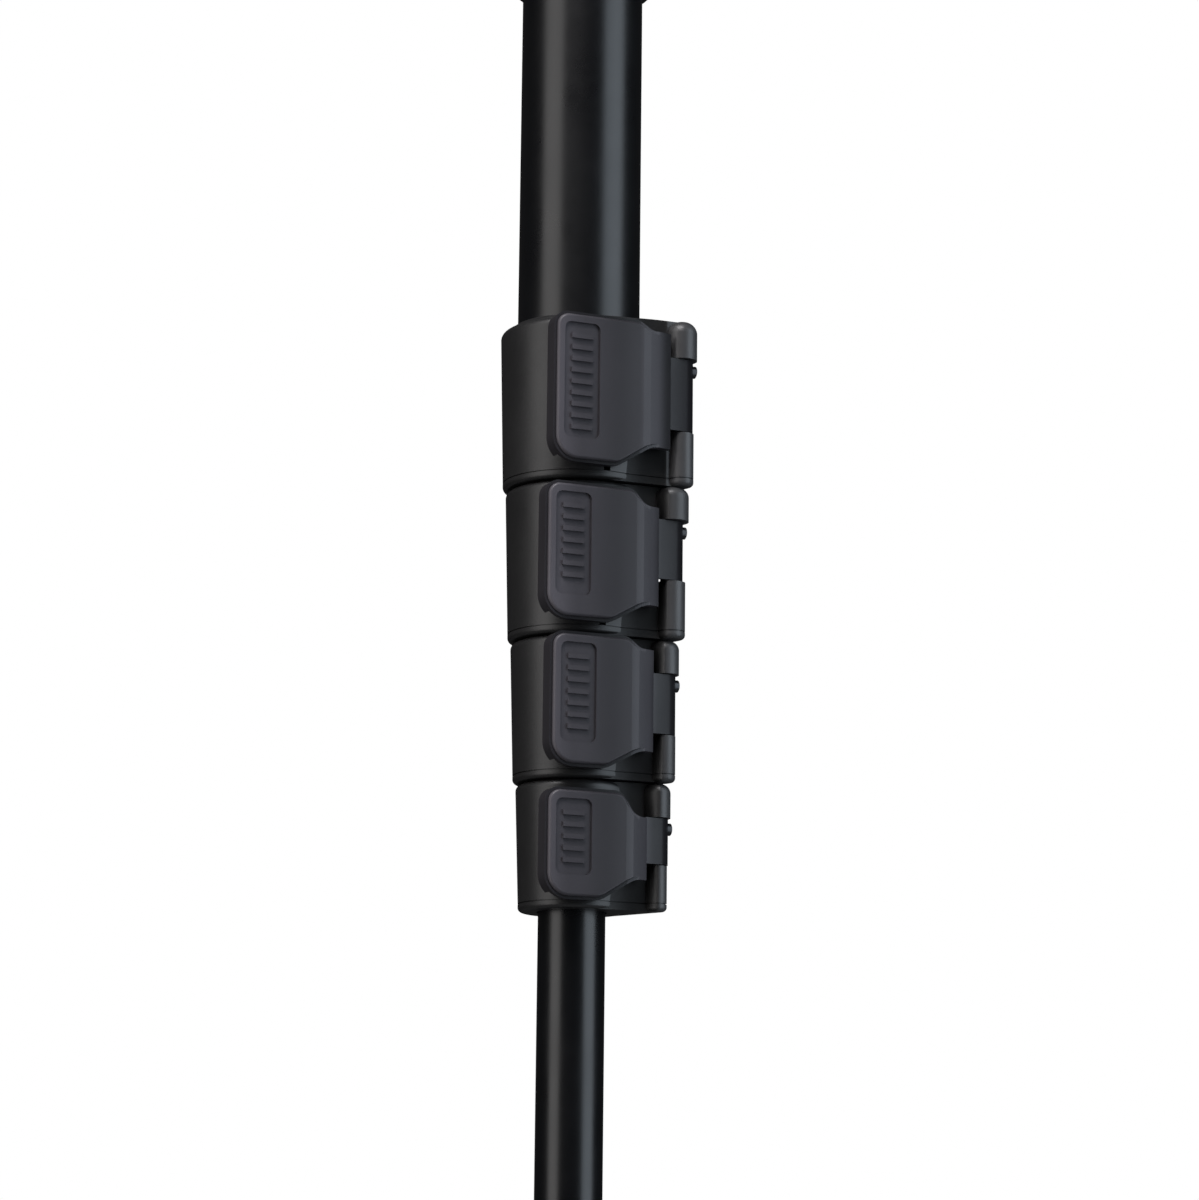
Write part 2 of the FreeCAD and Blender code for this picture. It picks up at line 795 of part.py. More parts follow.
        fillet(body, size("plate_corner") - inset, lambda edge, middle: (
            is_corner(edge, middle) and middle.z > middle_z))
        fillet(body, size("plate_low_corner") - inset, lambda edge, middle: (
            is_corner(edge, middle) and middle.z < middle_z))

    def slope_neck(self, body):
        """Slope the neck's front back from the ridge towards the knuckle."""
        plan = sketch_on(body, "XY_Plane")
        polygon(plan, [
            (self.ridge - size("ridge_band"), self.plate_y),
            (self.ridge + size("ridge_band"), self.plate_y + size("ridge_drop")),
            (self.neck_end + size("neck_play"), self.neck_front),
            (self.neck_end + size("neck_play"), self.plate_y - size("plate_edge")),
            (self.ridge - size("ridge_band"), self.plate_y - size("plate_edge"))])
        pocket(body, plan)

    def hollow_back(self, body):
        """Leave a thin plate and neck with a deeper finger rim at the free end."""
        plate_back = self.plate_y + size("plate_thickness")
        rim_back = self.plate_y + size("plate_depth")
        right = self.neck_end + size("neck_play")
        plan = sketch_on(body, "XY_Plane")
        polygon(plan, [
            (self.plate_left + size("plate_rim"), rim_back + size("plate_edge")),
            (self.plate_left + size("plate_rim"), plate_back), (ZERO, plate_back),
            (self.ridge, self.neck_back), (right, self.neck_back),
            (right, rim_back + size("plate_edge"))])
        pocket(body, plan)

    def add_knuckle(self, body):
        """Knuckle between the lugs, with its pin bore, eye slot and screw seat."""
        height = self.knuckle_top - self.knuckle_low
        link = sketch_on(body, "XY_Plane", self.knuckle_low)
        start = self.neck_end - size("knuckle_play")
        polygon(link, [
            (start, self.neck_front), (self.pin_x, self.pin_y - self.knuckle),
            (self.pin_x, self.pin_y), (self.pin_x - self.knuckle, self.neck_back),
            (start, self.neck_back)])
        pad(body, link, height)
        barrel = sketch_on(body, "XY_Plane", self.knuckle_low)
        circle(barrel, self.knuckle, self.pin_x, self.pin_y)
        pad(body, barrel, height)
        bore = sketch_on(body, "XY_Plane", self.knuckle_low)
        circle(bore, size("pin_radius"), self.pin_x, self.pin_y)
        pocket(body, bore, height, reverse=True)

        slot_height = size("eye_height") + size("eye_slot_play") * 2
        slot_low = self.bolt_z - slot_height * HALF
        ring = sketch_on(body, "XY_Plane", slot_low)
        circle(ring, self.eye_radius() + size("eccentricity") + size("eye_play"), self.pin_x, self.pin_y)
        pocket(body, ring, slot_height, reverse=True)
        sweep = sketch_on(body, "XY_Plane", slot_low)
        side = size("bolt_radius") + size("eye_slot_play")
        reach = self.boss + size("eye_slot_play")
        polygon(sweep, [
            (self.pin_x - reach, self.pin_y - side), (self.pin_x, self.pin_y - side),
            (self.pin_x + self.knuckle, self.pin_y + side * HALF),
            (self.pin_x + self.knuckle, self.pin_y + reach), (self.pin_x - reach, self.pin_y + reach)])
        pocket(body, sweep, slot_height, reverse=True)

        seat = sketch_on(body, "YZ_Plane", self.pin_x + size("screw_reach") - size("screw_head_height"))
        circle(seat, size("screw_head_radius") + size("pin_play"), self.pin_y, self.screw_z)
        pocket(body, seat, size("screw_reach"), reverse=True)
        hole = sketch_on(body, "YZ_Plane", self.pin_x)
        circle(hole, size("screw_shank_radius"), self.pin_y, self.screw_z)
        pocket(body, hole, size("screw_reach"), reverse=True)

    def add_panel(self, body):
        """Recessed panel on the plate with a row of raised finger ribs."""
        left = self.plate_left + size("panel_inset")
        right = left + size("panel_width")
        high = self.plate_top - size("panel_top")
        low = self.plate_low + size("panel_bottom")
        floor_y = self.plate_y + size("panel_depth")
        sunk = sketch_on(body, "XZ_Plane", -floor_y)
        polygon(sunk, [(left, high), (right, high), (right, low), (left, low)])
        pocket(body, sunk, size("panel_depth") * 2, reverse=True)
        fillet(body, size("panel_corner"), lambda edge, middle: (
            float(self.plate_y) < middle.y < float(floor_y) and edge.BoundBox.YLength > NEAR
            and float(left) - NEAR < middle.x < float(right) + NEAR
            and (close_to(middle.z, high) or close_to(middle.z, low))))
        middle_x = (left + right) * HALF
        half = size("rib_width") * HALF
        first = high - size("rib_pitch")
        rib = sketch_on(body, "XZ_Plane", -floor_y)
        polygon(rib, [
            (middle_x - half, first), (middle_x + half, first),
            (middle_x + half, first - size("rib_height")), (middle_x - half, first - size("rib_height"))])
        bar = pad(body, rib, size("panel_depth"))
        doc.recompute()
        row_length = float(high - low - size("rib_pitch") * 2)
        pattern = body.newObject("PartDesign::LinearPattern", "ribs")
        pattern.Originals = [bar]
        pattern.Direction = (rib, ["V_Axis"])
        pattern.Reversed = True
        pattern.Mode = "Spacing"
        pattern.Occurrences = int(row_length / SIZES["rib_pitch"]) + 1
        bind(pattern, Offset=size("rib_pitch"))
        body.Tip = pattern

    def eye_radius(self):
        """Outer radius of the draw bolt's eye."""
        return size("pin_radius") + size("eye_play") + size("eye_wall")

    def make_pin(self):
        """Hinge pin with an eccentric middle that pulls the draw bolt."""
        half = (size("eye_height") + size("eye_slot_play")) * HALF
        low = self.body_low + size("pin_end")
        ends = (
            cylinder(size("pin_radius"), low, self.bolt_z - half, self.pin_x, self.pin_y),
            cylinder(size("pin_radius"), self.bolt_z + half, -size("pin_end"), self.pin_x, self.pin_y))
        middle = cylinder(
            self.eccentric, self.bolt_z - half, self.bolt_z + half,
            self.pin_x + size("eccentricity"), self.pin_y)
        self.finish(fuse(*ends, middle), "hinge_pin")

    def make_draw_bolt(self):
        """Eye bolt across the split, and its square nut."""
        half = size("eye_height") * HALF
        low, high = self.bolt_z - half, self.bolt_z + half
        eye_x = self.pin_x + size("eccentricity")
        eye = cylinder(self.eye_radius(), low, high, eye_x, self.pin_y)
        shank_end = eye_x - self.eye_radius() + size("eye_wall") * HALF
        shank = cross_cylinder(size("bolt_radius"), -size("bolt_reach"), shank_end, self.pin_y, self.bolt_z)
        bore = self.eccentric + size("eye_play")
        holes = [
            cylinder(bore, low, high, eye_x, self.pin_y + size("eccentricity") * side) for side in (-1, 1)]
        waist = box(
            eye_x - bore, eye_x + bore, self.pin_y - size("eccentricity"),
            self.pin_y + size("eccentricity"), low, high)
        self.finish(cut(fuse(eye, shank), *holes, waist), "draw_bolt")

        nut_half = size("nut_width") * HALF
        block = box(
            -size("nut_place"), -size("nut_place") + size("nut_thickness"), self.pin_y - nut_half,
            self.pin_y + nut_half, self.bolt_z - nut_half, self.bolt_z + nut_half)
        thread = cross_cylinder(
            size("bolt_radius"), -size("nut_place"), -size("nut_place") + size("nut_thickness"),
            self.pin_y, self.bolt_z)
        self.finish(cut(block, thread), "draw_nut")

    def make_pin_screw(self):
        """Small screw that locks the pin to the lever. Its head shows beside the knuckle."""
        head_start = self.pin_x + size("screw_reach") - size("screw_head_height")
        head = cross_cylinder(
            size("screw_head_radius"), head_start, self.pin_x + size("screw_reach"),
            self.pin_y, self.screw_z)
        shank = cross_cylinder(
            size("screw_shank_radius"), self.pin_x + size("pin_radius"), head_start,
            self.pin_y, self.screw_z)
        self.finish(fuse(head, shank), "pin_screw")

    def make(self):
        self.make_collar()
        self.make_ring()
        self.make_liner()
        self.make_lever()
        self.make_pin()
        self.make_draw_bolt()
        self.make_pin_screw()


def make_foot():
    """Plug, spike, threaded insert, washer and rubber foot under section 5."""
    end = tube_low[LAST]
    bore = tube_bore(LAST)
    hold_radius = size("spike_radius")
    flange_low = end - size("plug_flange")
    turned("foot_plug", [
        (hold_radius, flange_low), (tube_radius(LAST), flange_low), (tube_radius(LAST), end),
        (bore, end), (bore, end + size("plug_depth")), (ZERO, end + size("plug_depth")),
        (ZERO, end + size("spike_hold")), (hold_radius, end + size("spike_hold"))])
    point = end - size("spike_drop")
    turned("foot_spike", [
        (ZERO, point - size("spike_tip")), (size("spike_tip_radius"), point - size("spike_tip")),
        (hold_radius, point), (hold_radius, end + size("spike_hold")), (ZERO, end + size("spike_hold"))])
    running = hold_radius + size("thread_play")
    insert_top = end - size("insert_drop")
    insert_low = insert_top - size("insert_height")
    turned("foot_insert", [
        (running, insert_low), (size("insert_radius"), insert_low),
        (size("insert_radius"), insert_top), (running, insert_top)])
    washer_top = insert_top + size("washer_height")
    turned("foot_washer", [
        (hold_radius + size("bush_play"), insert_top), (size("washer_radius"), insert_top),
        (size("washer_radius"), washer_top), (hold_radius + size("bush_play"), washer_top)])

    inside = tube_radius(LAST) + size("foot_play")
    top = end + size("foot_cover")
    low = top - size("foot_height")
    waist = low + size("foot_base_height")
    foot = new_body("rubber_foot")
    revolve(foot, [
        (size("foot_mouth"), low), (size("foot_radius"), low), (size("foot_radius"), waist),
        (size("foot_top_radius"), waist + size("foot_base_height")), (size("foot_top_radius"), top),
        (inside, top), (inside, insert_top), (size("insert_radius"), insert_top),
        (size("insert_radius"), insert_low), (size("foot_mouth"), insert_low)])
    fillet(foot, size("foot_edge"), lambda edge, middle: close_to(
        math.hypot(middle.x, middle.y), size("foot_radius")) and edge.BoundBox.ZLength < SHORT_EDGE)
    first = top - size("foot_groove_pitch")
    groove_sketch = sketch_on(foot, "XZ_Plane")
    deep = size("foot_top_radius") - size("foot_groove_depth")
    outside = size("foot_top_radius") + size("foot_play")
    polygon(groove_sketch, [
        (deep, first), (outside, first + size("foot_groove_depth")),
        (outside, first - size("foot_groove_depth") * 2), (deep, first - size("foot_groove_depth"))])
    groove = foot.newObject("PartDesign::Groove", "groove")
    groove.Profile = groove_sketch
    groove.ReferenceAxis = (groove_sketch, ["V_Axis"])
    groove.Angle = FULL_TURN
    doc.recompute()
    pattern = foot.newObject("PartDesign::LinearPattern", "grooves")
    pattern.Originals = [groove]
    pattern.Direction = (groove_sketch, ["V_Axis"])
    pattern.Reversed = True
    pattern.Mode = "Spacing"
    pattern.Occurrences = FOOT_GROOVES
    bind(pattern, Offset=size("foot_groove_pitch"))
    foot.Tip = pattern


def check_document():
    """Stop if any object failed or any sub-part has no valid solid."""
    doc.recompute()
    for item in doc.Objects:
        if "Invalid" in item.State or "Error" in item.State:
            raise RuntimeError(f"{item.Name} ({item.Label}) failed: {item.State}")
    for piece in kept:
        if piece.Shape.isNull() or not piece.Shape.isValid() or not piece.Shape.Solids:
            raise RuntimeError(f"{piece.Label} has no valid solid")


def write_parts():
    os.makedirs("parts", exist_ok=True)
    for piece in kept:
        piece.Shape.exportStep(f"parts/{piece.Label}.step")


make_platform()
make_cap()
make_grip()
for section in SECTIONS:
    make_tube(section)
for section in SECTIONS[1:]:
    make_bush(section)
for lock in LOCKS:
    Lock(lock).make()
make_foot()
check_document()
write_parts()
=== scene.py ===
"""Looks of a five-section camera monopod with four flip locks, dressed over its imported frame."""
import json
import logging
import math
from dataclasses import dataclass
from enum import Enum

import bmesh
import bpy
from mathutils import Matrix, Vector


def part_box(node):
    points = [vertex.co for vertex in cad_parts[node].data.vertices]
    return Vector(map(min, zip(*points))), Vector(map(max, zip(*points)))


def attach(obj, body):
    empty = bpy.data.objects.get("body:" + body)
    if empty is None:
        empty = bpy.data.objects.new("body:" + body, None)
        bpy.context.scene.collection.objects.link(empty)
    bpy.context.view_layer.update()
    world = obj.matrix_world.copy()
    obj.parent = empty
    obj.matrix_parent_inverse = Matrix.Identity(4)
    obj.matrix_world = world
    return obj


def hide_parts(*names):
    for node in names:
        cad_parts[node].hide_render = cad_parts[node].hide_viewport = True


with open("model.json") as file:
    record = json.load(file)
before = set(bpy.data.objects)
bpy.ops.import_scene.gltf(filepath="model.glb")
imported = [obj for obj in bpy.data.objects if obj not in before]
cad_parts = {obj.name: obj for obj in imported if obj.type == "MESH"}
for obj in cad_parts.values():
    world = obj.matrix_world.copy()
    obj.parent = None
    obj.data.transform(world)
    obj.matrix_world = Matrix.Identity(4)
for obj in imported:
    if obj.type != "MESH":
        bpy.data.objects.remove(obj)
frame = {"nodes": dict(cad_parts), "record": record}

LOG = logging.getLogger("monopod")
MM = 0.001
HALF = 0.5
MERGE = 0.001 * MM
SHARP_ANGLE = math.radians(38.0)
SENSOR_WIDTH = 36.0
WHITE = (1.0, 1.0, 1.0, 1.0)
UPPER_LEG = "upper_leg"
PAINTED_SHADE_STOPS = 8
FRONT_START, FRONT_FULL = -6.0 * MM, -9.0 * MM
CLOUD_RANGE = (0.3, 0.7)
CELL_SHARE = 0.6
SPECKLE_SHARE = 60.0
POLISH_SCALE = 45.0

Colour = tuple[float, float, float]


class Slot(str, Enum):
    """Material slots of the record, each with one finish."""

    ANODISED = "black_anodised"
    COLLAR = "collar_plastic"
    LEVER = "lever_plastic"
    CAP = "cap_plastic"
    FOAM = "grip_foam"
    PAD = "platform_rubber"
    FOOT = "foot_rubber"
    STEEL = "dark_steel"
    BRASS = "brass"
    NYLON = "white_nylon"
    LINER = "liner_nylon"


class Port(str, Enum):
    """Kinds of named socket that the node groups have."""

    FLOAT = "NodeSocketFloat"
    WHOLE = "NodeSocketInt"
    COLOUR = "NodeSocketColor"
    MATERIAL = "NodeSocketMaterial"
    SHAPE = "NodeSocketGeometry"


class Graph:
    """Writes nodes and links into one node tree."""

    def __init__(self, tree: bpy.types.NodeTree) -> None:
        """Keeps the tree that the nodes go into."""
        self.tree = tree

    def add(self, kind: str, feeds: dict | None = None, **settings: object) -> bpy.types.Node:
        """Adds one node.

        Args:
            kind: the node's type name.
            feeds: a value or an output socket for each input, by its name or number.
            settings: the node's own properties.

        Returns:
            The new node.
        """
        node = self.tree.nodes.new(kind)
        for name, value in settings.items():
            setattr(node, name, value)
        for key, value in (feeds or {}).items():
            self.feed(node.inputs[key], value)
        return node

    def feed(self, socket: bpy.types.NodeSocket, value: object) -> None:
        """Links an output socket to an input, or sets the input's own value.

        Args:
            socket: the input.
            value: an output socket or a plain value.
        """
        if isinstance(value, bpy.types.NodeSocket):
            self.tree.links.new(value, socket)
        else:
            socket.default_value = value

    def math(self, operation: str, *values: object) -> bpy.types.NodeSocket:
        """Adds a Math node on these values and returns its output."""
        return self.add("ShaderNodeMath", dict(enumerate(values)), operation=operation).outputs[0]

    def vector(self, operation: str, *values: object) -> bpy.types.NodeSocket:
        """Adds a Vector Math node on these values and returns its vector output."""
        return self.add(
            "ShaderNodeVectorMath", dict(enumerate(values)), operation=operation).outputs[0]

    def mix(self, share: object, low: object, high: object) -> bpy.types.NodeSocket:
        """Returns a number between low and high, at this share of the way."""
        return self.add("ShaderNodeMix", {0: share, 2: low, 3: high}).outputs[0]

    def mix_colour(self, share: object, low: object, high: object) -> bpy.types.NodeSocket:
        """Returns a colour between low and high, at this share of the way."""
        return self.add(
            "ShaderNodeMix", {0: share, 6: low, 7: high}, data_type="RGBA").outputs[2]

    def noise(self, vector: bpy.types.NodeSocket, scale: object, detail: float,
              roughness: float = HALF) -> bpy.types.NodeSocket:
        """Returns soft noise at these coordinates."""
        return self.add("ShaderNodeTexNoise", {
            "Vector": vector, "Scale": scale, "Detail": detail, "Roughness": roughness}).outputs[0]

    def place(self, tree: bpy.types.NodeTree, values: dict) -> bpy.types.Node:
        """Places a shared group with its own values or sockets for its named inputs."""
        return self.add("ShaderNodeGroup", values, node_tree=tree)

    def spot(self) -> bpy.types.NodeSocket:
        """Returns the Object coordinates."""
        return self.add("ShaderNodeTexCoord").outputs["Object"]

    def spot_parts(self) -> bpy.types.bpy_prop_collection:
        """Returns the Object coordinates as X, Y and Z."""
        return self.add("ShaderNodeSeparateXYZ", {0: self.spot()}).outputs

    def spread(self, value: bpy.types.NodeSocket, low: object, high: object,
               start: object, end: object, curve: str = "LINEAR") -> bpy.types.NodeSocket:
        """Maps a value from start..end to low..high.

        Args:
            value: the socket to map.
            low: what start becomes.
            high: what end becomes.
            start: first value that counts.
            end: last value that counts.
            curve: how it goes from one to the other.

        Returns:
            The mapped value.
        """
        return self.add("ShaderNodeMapRange", {
            "Value": value, "From Min": start, "From Max": end, "To Min": low, "To Max": high,
        }, interpolation_type=curve).outputs["Result"]


@dataclass(frozen=True)
class Socket:
    """One named socket of a node group, with the value that it starts from."""

    name: str
    port: Port
    start: object = None


class Group:
    """A node group that is built once, with named inputs and outputs."""

    def __init__(self, name: str, kind: str, inputs: list[Socket], outputs: list[Socket]) -> None:
        """Makes the empty group.

        Args:
            name: the group's name.
            kind: ShaderNodeTree or GeometryNodeTree.
            inputs: sockets that are read.
            outputs: sockets that are written.
        """
        self.tree = bpy.data.node_groups.new(name, kind)
        for side, sockets in (("INPUT", inputs), ("OUTPUT", outputs)):
            for socket in sockets:
                made = self.tree.interface.new_socket(
                    socket.name, in_out=side, socket_type=socket.port.value)
                if socket.start is not None:
                    made.default_value = socket.start
        self.graph = Graph(self.tree)
        self.inlet = self.graph.add("NodeGroupInput").outputs
        self.outlet = self.graph.add("NodeGroupOutput").inputs

    def give(self, name: str, value: bpy.types.NodeSocket) -> None:
        """Links a value to a named output of the group."""
        self.graph.feed(self.outlet[name], value)


class Effects:
    """Surface effects that several finishes share, each a shader node group made once."""

    def __init__(self) -> None:
        """Builds every group."""
        self.grain = self.make_grain()
        self.drift = self.make_drift()
        self.polish = self.make_polish()
        self.lines = self.make_lines()
        self.painted_shade = self.make_painted_shade()
        self.curve = self.make_curve()

    @staticmethod
    def make_grain() -> bpy.types.NodeTree:
        """Fine spark-eroded texture of a mould, as a height.

        Returns:
            The group's tree.
        """
        group = Group("mould_grain", "ShaderNodeTree",
                      [Socket("Scale", Port.FLOAT), Socket("Coarse", Port.FLOAT)],
                      [Socket("Height", Port.FLOAT)])
        graph, inlet = group.graph, group.inlet
        place = graph.spot()
        fine = graph.noise(place, inlet["Scale"], detail=2.0, roughness=0.6)
        cells = graph.add("ShaderNodeTexVoronoi", {
            "Vector": place, "Scale": graph.math("MULTIPLY", inlet["Scale"], CELL_SHARE)},
            feature="SMOOTH_F1").outputs["Distance"]
        group.give("Height", graph.mix(inlet["Coarse"], fine, cells))
        return group.tree

    @staticmethod
    def make_drift() -> bpy.types.NodeTree:
        """Slow change between two close colours, with a little speckle.

        Returns:
            The group's tree.
        """
        group = Group("tone_drift", "ShaderNodeTree",
                      [Socket("Colour", Port.COLOUR), Socket("Other", Port.COLOUR),
                       Socket("Scale", Port.FLOAT), Socket("Speckle", Port.FLOAT)],
                      [Socket("Colour", Port.COLOUR)])
        graph, inlet = group.graph, group.inlet
        place = graph.spot()
        slow = graph.noise(place, inlet["Scale"], detail=4.0)
        quick = graph.noise(
            place, graph.math("MULTIPLY", inlet["Scale"], SPECKLE_SHARE), detail=1.0)
        share = graph.mix(
            inlet["Speckle"], graph.spread(slow, 0.0, 1.0, *CLOUD_RANGE), quick)
        group.give("Colour", graph.mix_colour(share, inlet["Colour"], inlet["Other"]))
        return group.tree

    @staticmethod
    def make_polish() -> bpy.types.NodeTree:
        """Roughness that changes where hands have rubbed the surface.

        Returns:
            The group's tree.
        """
        group = Group("hand_polish", "ShaderNodeTree",
                      [Socket("Scale", Port.FLOAT, POLISH_SCALE), Socket("Low", Port.FLOAT),
                       Socket("High", Port.FLOAT)],
                      [Socket("Roughness", Port.FLOAT)])
        graph, inlet = group.graph, group.inlet
        cloud = graph.noise(graph.spot(), inlet["Scale"], detail=5.0, roughness=0.65)
        group.give("Roughness", graph.spread(cloud, inlet["Low"], inlet["High"], *CLOUD_RANGE))
        return group.tree

    @staticmethod
    def make_lines() -> bpy.types.NodeTree:
        """Fine lines, along the leg or round it as the two scales differ.

        Returns:
            The group's tree.
        """
        group = Group("drawn_lines", "ShaderNodeTree",
                      [Socket("Across", Port.FLOAT), Socket("Along", Port.FLOAT)],
                      [Socket("Height", Port.FLOAT)])
        graph, inlet = group.graph, group.inlet
        scales = graph.add("ShaderNodeCombineXYZ", {
            0: inlet["Across"], 1: inlet["Across"], 2: inlet["Along"]}).outputs[0]
        stretched = graph.vector("MULTIPLY", graph.spot(), scales)
        group.give("Height", graph.noise(stretched, 1.0, detail=3.0))
        return group.tree

    @staticmethod
    def make_painted_shade() -> bpy.types.NodeTree:
        """Painted light and shade: colour made paler or darker by place across the front of a lock.

        Returns:
            The group's tree.
        """
        group = Group("front_painted_shade", "ShaderNodeTree", [
            Socket("Colour", Port.COLOUR), Socket("Reach", Port.FLOAT, 1.0),
            *(Socket(f"At {stop}", Port.FLOAT) for stop in range(PAINTED_SHADE_STOPS)),
            *(Socket(f"Level {stop}", Port.FLOAT) for stop in range(PAINTED_SHADE_STOPS)),
        ], [Socket("Colour", Port.COLOUR)])
        graph, inlet = group.graph, group.inlet
        # Painted light and shade: between stops along X the colour is scaled up or down, on the
        # front only; Reach brings in the painted shade of sunk places.
        place = graph.spot_parts()
        change = 0.0
        for stop in range(PAINTED_SHADE_STOPS - 1):
            rise = graph.math("SUBTRACT", inlet[f"Level {stop + 1}"], inlet[f"Level {stop}"])
            change = graph.math("ADD", change, graph.spread(
                place[0], 0.0, rise, inlet[f"At {stop}"], inlet[f"At {stop + 1}"], "SMOOTHSTEP"))
        ahead = graph.spread(place[1], 0.0, 1.0, FRONT_START, FRONT_FULL)
        level = graph.math("ADD", inlet["Level 0"], graph.math("MULTIPLY", change, ahead))
        scale = graph.math("MULTIPLY", level, inlet["Reach"])
        group.give("Colour", graph.add(
            "ShaderNodeVectorMath", {0: inlet["Colour"], 3: scale}, operation="SCALE").outputs[0])
        return group.tree

    @staticmethod
    def make_curve() -> bpy.types.NodeTree:
        """Height of a front that curves on each side of a line, for a normal that leans there.

        Returns:
            The group's tree.
        """
        group = Group("front_curve", "ShaderNodeTree",
                      [Socket(name, Port.FLOAT) for name in ("Middle", "End", "Left", "Right")],
                      [Socket("Height", Port.FLOAT)])
        graph, inlet = group.graph, group.inlet
        place = graph.spot_parts()
        aside = graph.math(
            "SUBTRACT", graph.math("MINIMUM", place[0], inlet["End"]), inlet["Middle"])
        left = graph.math("MINIMUM", aside, 0.0)
        right = graph.math("MAXIMUM", aside, 0.0)
        height = graph.math(
            "ADD", graph.math("MULTIPLY", graph.math("MULTIPLY", left, left), inlet["Left"]),
            graph.math("MULTIPLY", graph.math("MULTIPLY", right, right), inlet["Right"]))
        ahead = graph.math("LESS_THAN", place[1], FRONT_FULL)
        group.give("Height", graph.math("MULTIPLY", height, ahead))
        return group.tree


@dataclass(frozen=True)
class Finish:
    """One surface finish, as a colour that drifts, a roughness that drifts and a grain."""

    slot: Slot
    colour: Colour
    other: Colour
    gloss: tuple[float, float]
    drift_scale: float = 30.0
    speckle: float = 0.2
    grain_scale: float = 2600.0
    grain_coarse: float = 0.35
    grain_depth: float = 0.02 * MM
    specular: float = 0.5
    metallic: float = 0.0
    sheen: float = 0.0

    def make(self, effects: Effects) -> bpy.types.Material:
        """Builds the material.

        Args:
            effects: the shared groups.

        Returns:
            The finished material.
        """
        material = bpy.data.materials.new(self.slot.value)
        material.use_nodes = True
        material.node_tree.nodes.clear()
        graph = Graph(material.node_tree)
        drift = graph.place(effects.drift, {
            "Colour": (*self.colour, 1.0), "Other": (*self.other, 1.0),
            "Scale": self.drift_scale, "Speckle": self.speckle}).outputs["Colour"]
        polish = graph.place(effects.polish, {"Low": self.gloss[0], "High": self.gloss[1]})
        shader = graph.add("ShaderNodeBsdfPrincipled", {
            "Metallic": self.metallic, "Specular IOR Level": self.specular,
            "Sheen Weight": self.sheen, "Base Color": self.tint(graph, effects, drift),
            "Roughness": polish.outputs["Roughness"], "Normal": self.relief(graph, effects)})
        graph.add("ShaderNodeOutputMaterial", {"Surface": shader.outputs[0]})
        return material

    def tint(self, graph: Graph, effects: Effects,
             colour: bpy.types.NodeSocket) -> bpy.types.NodeSocket:
        """Returns the colour as it is; a finish with painted light and shade changes it by place.
        """
        return colour

    def relief(self, graph: Graph, effects: Effects) -> bpy.types.NodeSocket:
        """Places the grain.

        Args:
            graph: the material's graph.
            effects: the shared groups.

        Returns:
            The normal with the grain in it.
        """
        grain = graph.place(effects.grain, {"Scale": self.grain_scale, "Coarse": self.grain_coarse})
        return graph.add("ShaderNodeBump", {
            "Distance": self.grain_depth, "Height": grain.outputs["Height"]}).outputs[0]


@dataclass(frozen=True)
class LinedFinish(Finish):
    """A finish that also has fine lines along or round the leg."""

    across: float = 4000.0
    along: float = 40.0
    line_depth: float = 0.004 * MM

    def relief(self, graph: Graph, effects: Effects) -> bpy.types.NodeSocket:
        """Places the lines over the grain.

        Args:
            graph: the material's graph.
            effects: the shared groups.

        Returns:
            The normal with the lines and the grain in it.
        """
        lines = graph.place(effects.lines, {"Across": self.across, "Along": self.along})
        return graph.add("ShaderNodeBump", {
            "Distance": self.line_depth, "Height": lines.outputs["Height"],
            "Normal": super().relief(graph, effects)}).outputs[0]


@dataclass(frozen=True)
class PaintedShadeFinish(LinedFinish):
    """A lined finish for the locks, with painted light and shade by place across their front, and
    curved a little.

    The painted light and shade is a list of places across the front, in millimetres, with the share
    of the colour that is left at each. The front curves on each side of its middle line, up to its
    end.
    """

    painted_shade: tuple[tuple[float, float], ...] = ()
    middle: float = 2.0 * MM
    end: float = 19.5 * MM
    left: float = 0.0
    right: float = 11.0

    def tint(self, graph: Graph, effects: Effects,
             colour: bpy.types.NodeSocket) -> bpy.types.NodeSocket:
        """Places the painted light and shade.

        Args:
            graph: the material's graph.
            effects: the shared groups.
            colour: the colour before the painted light and shade.

        Returns:
            The colour with painted light and shade.
        """
        values = {"Colour": colour, "Reach": self.reach(graph)}
        for stop, (at, level) in enumerate(self.painted_shade):
            values[f"At {stop}"] = at * MM
            values[f"Level {stop}"] = level
        return graph.place(effects.painted_shade, values).outputs["Colour"]

    def reach(self, graph: Graph) -> bpy.types.NodeSocket | float:
        """Returns how far the colour stays where the surface is sunk; here it stays whole."""
        return 1.0

    def relief(self, graph: Graph, effects: Effects) -> bpy.types.NodeSocket:
        """Places the curve of the front over the lines and the grain.

        Args:
            graph: the material's graph.
            effects: the shared groups.

        Returns:
            The normal with all of them in it.
        """
        curve = graph.place(effects.curve, {
            "Middle": self.middle, "End": self.end, "Left": self.left, "Right": self.right})
        return graph.add("ShaderNodeBump", {
            "Distance": 1.0, "Height": curve.outputs["Height"],
            "Normal": super().relief(graph, effects)}).outputs[0]


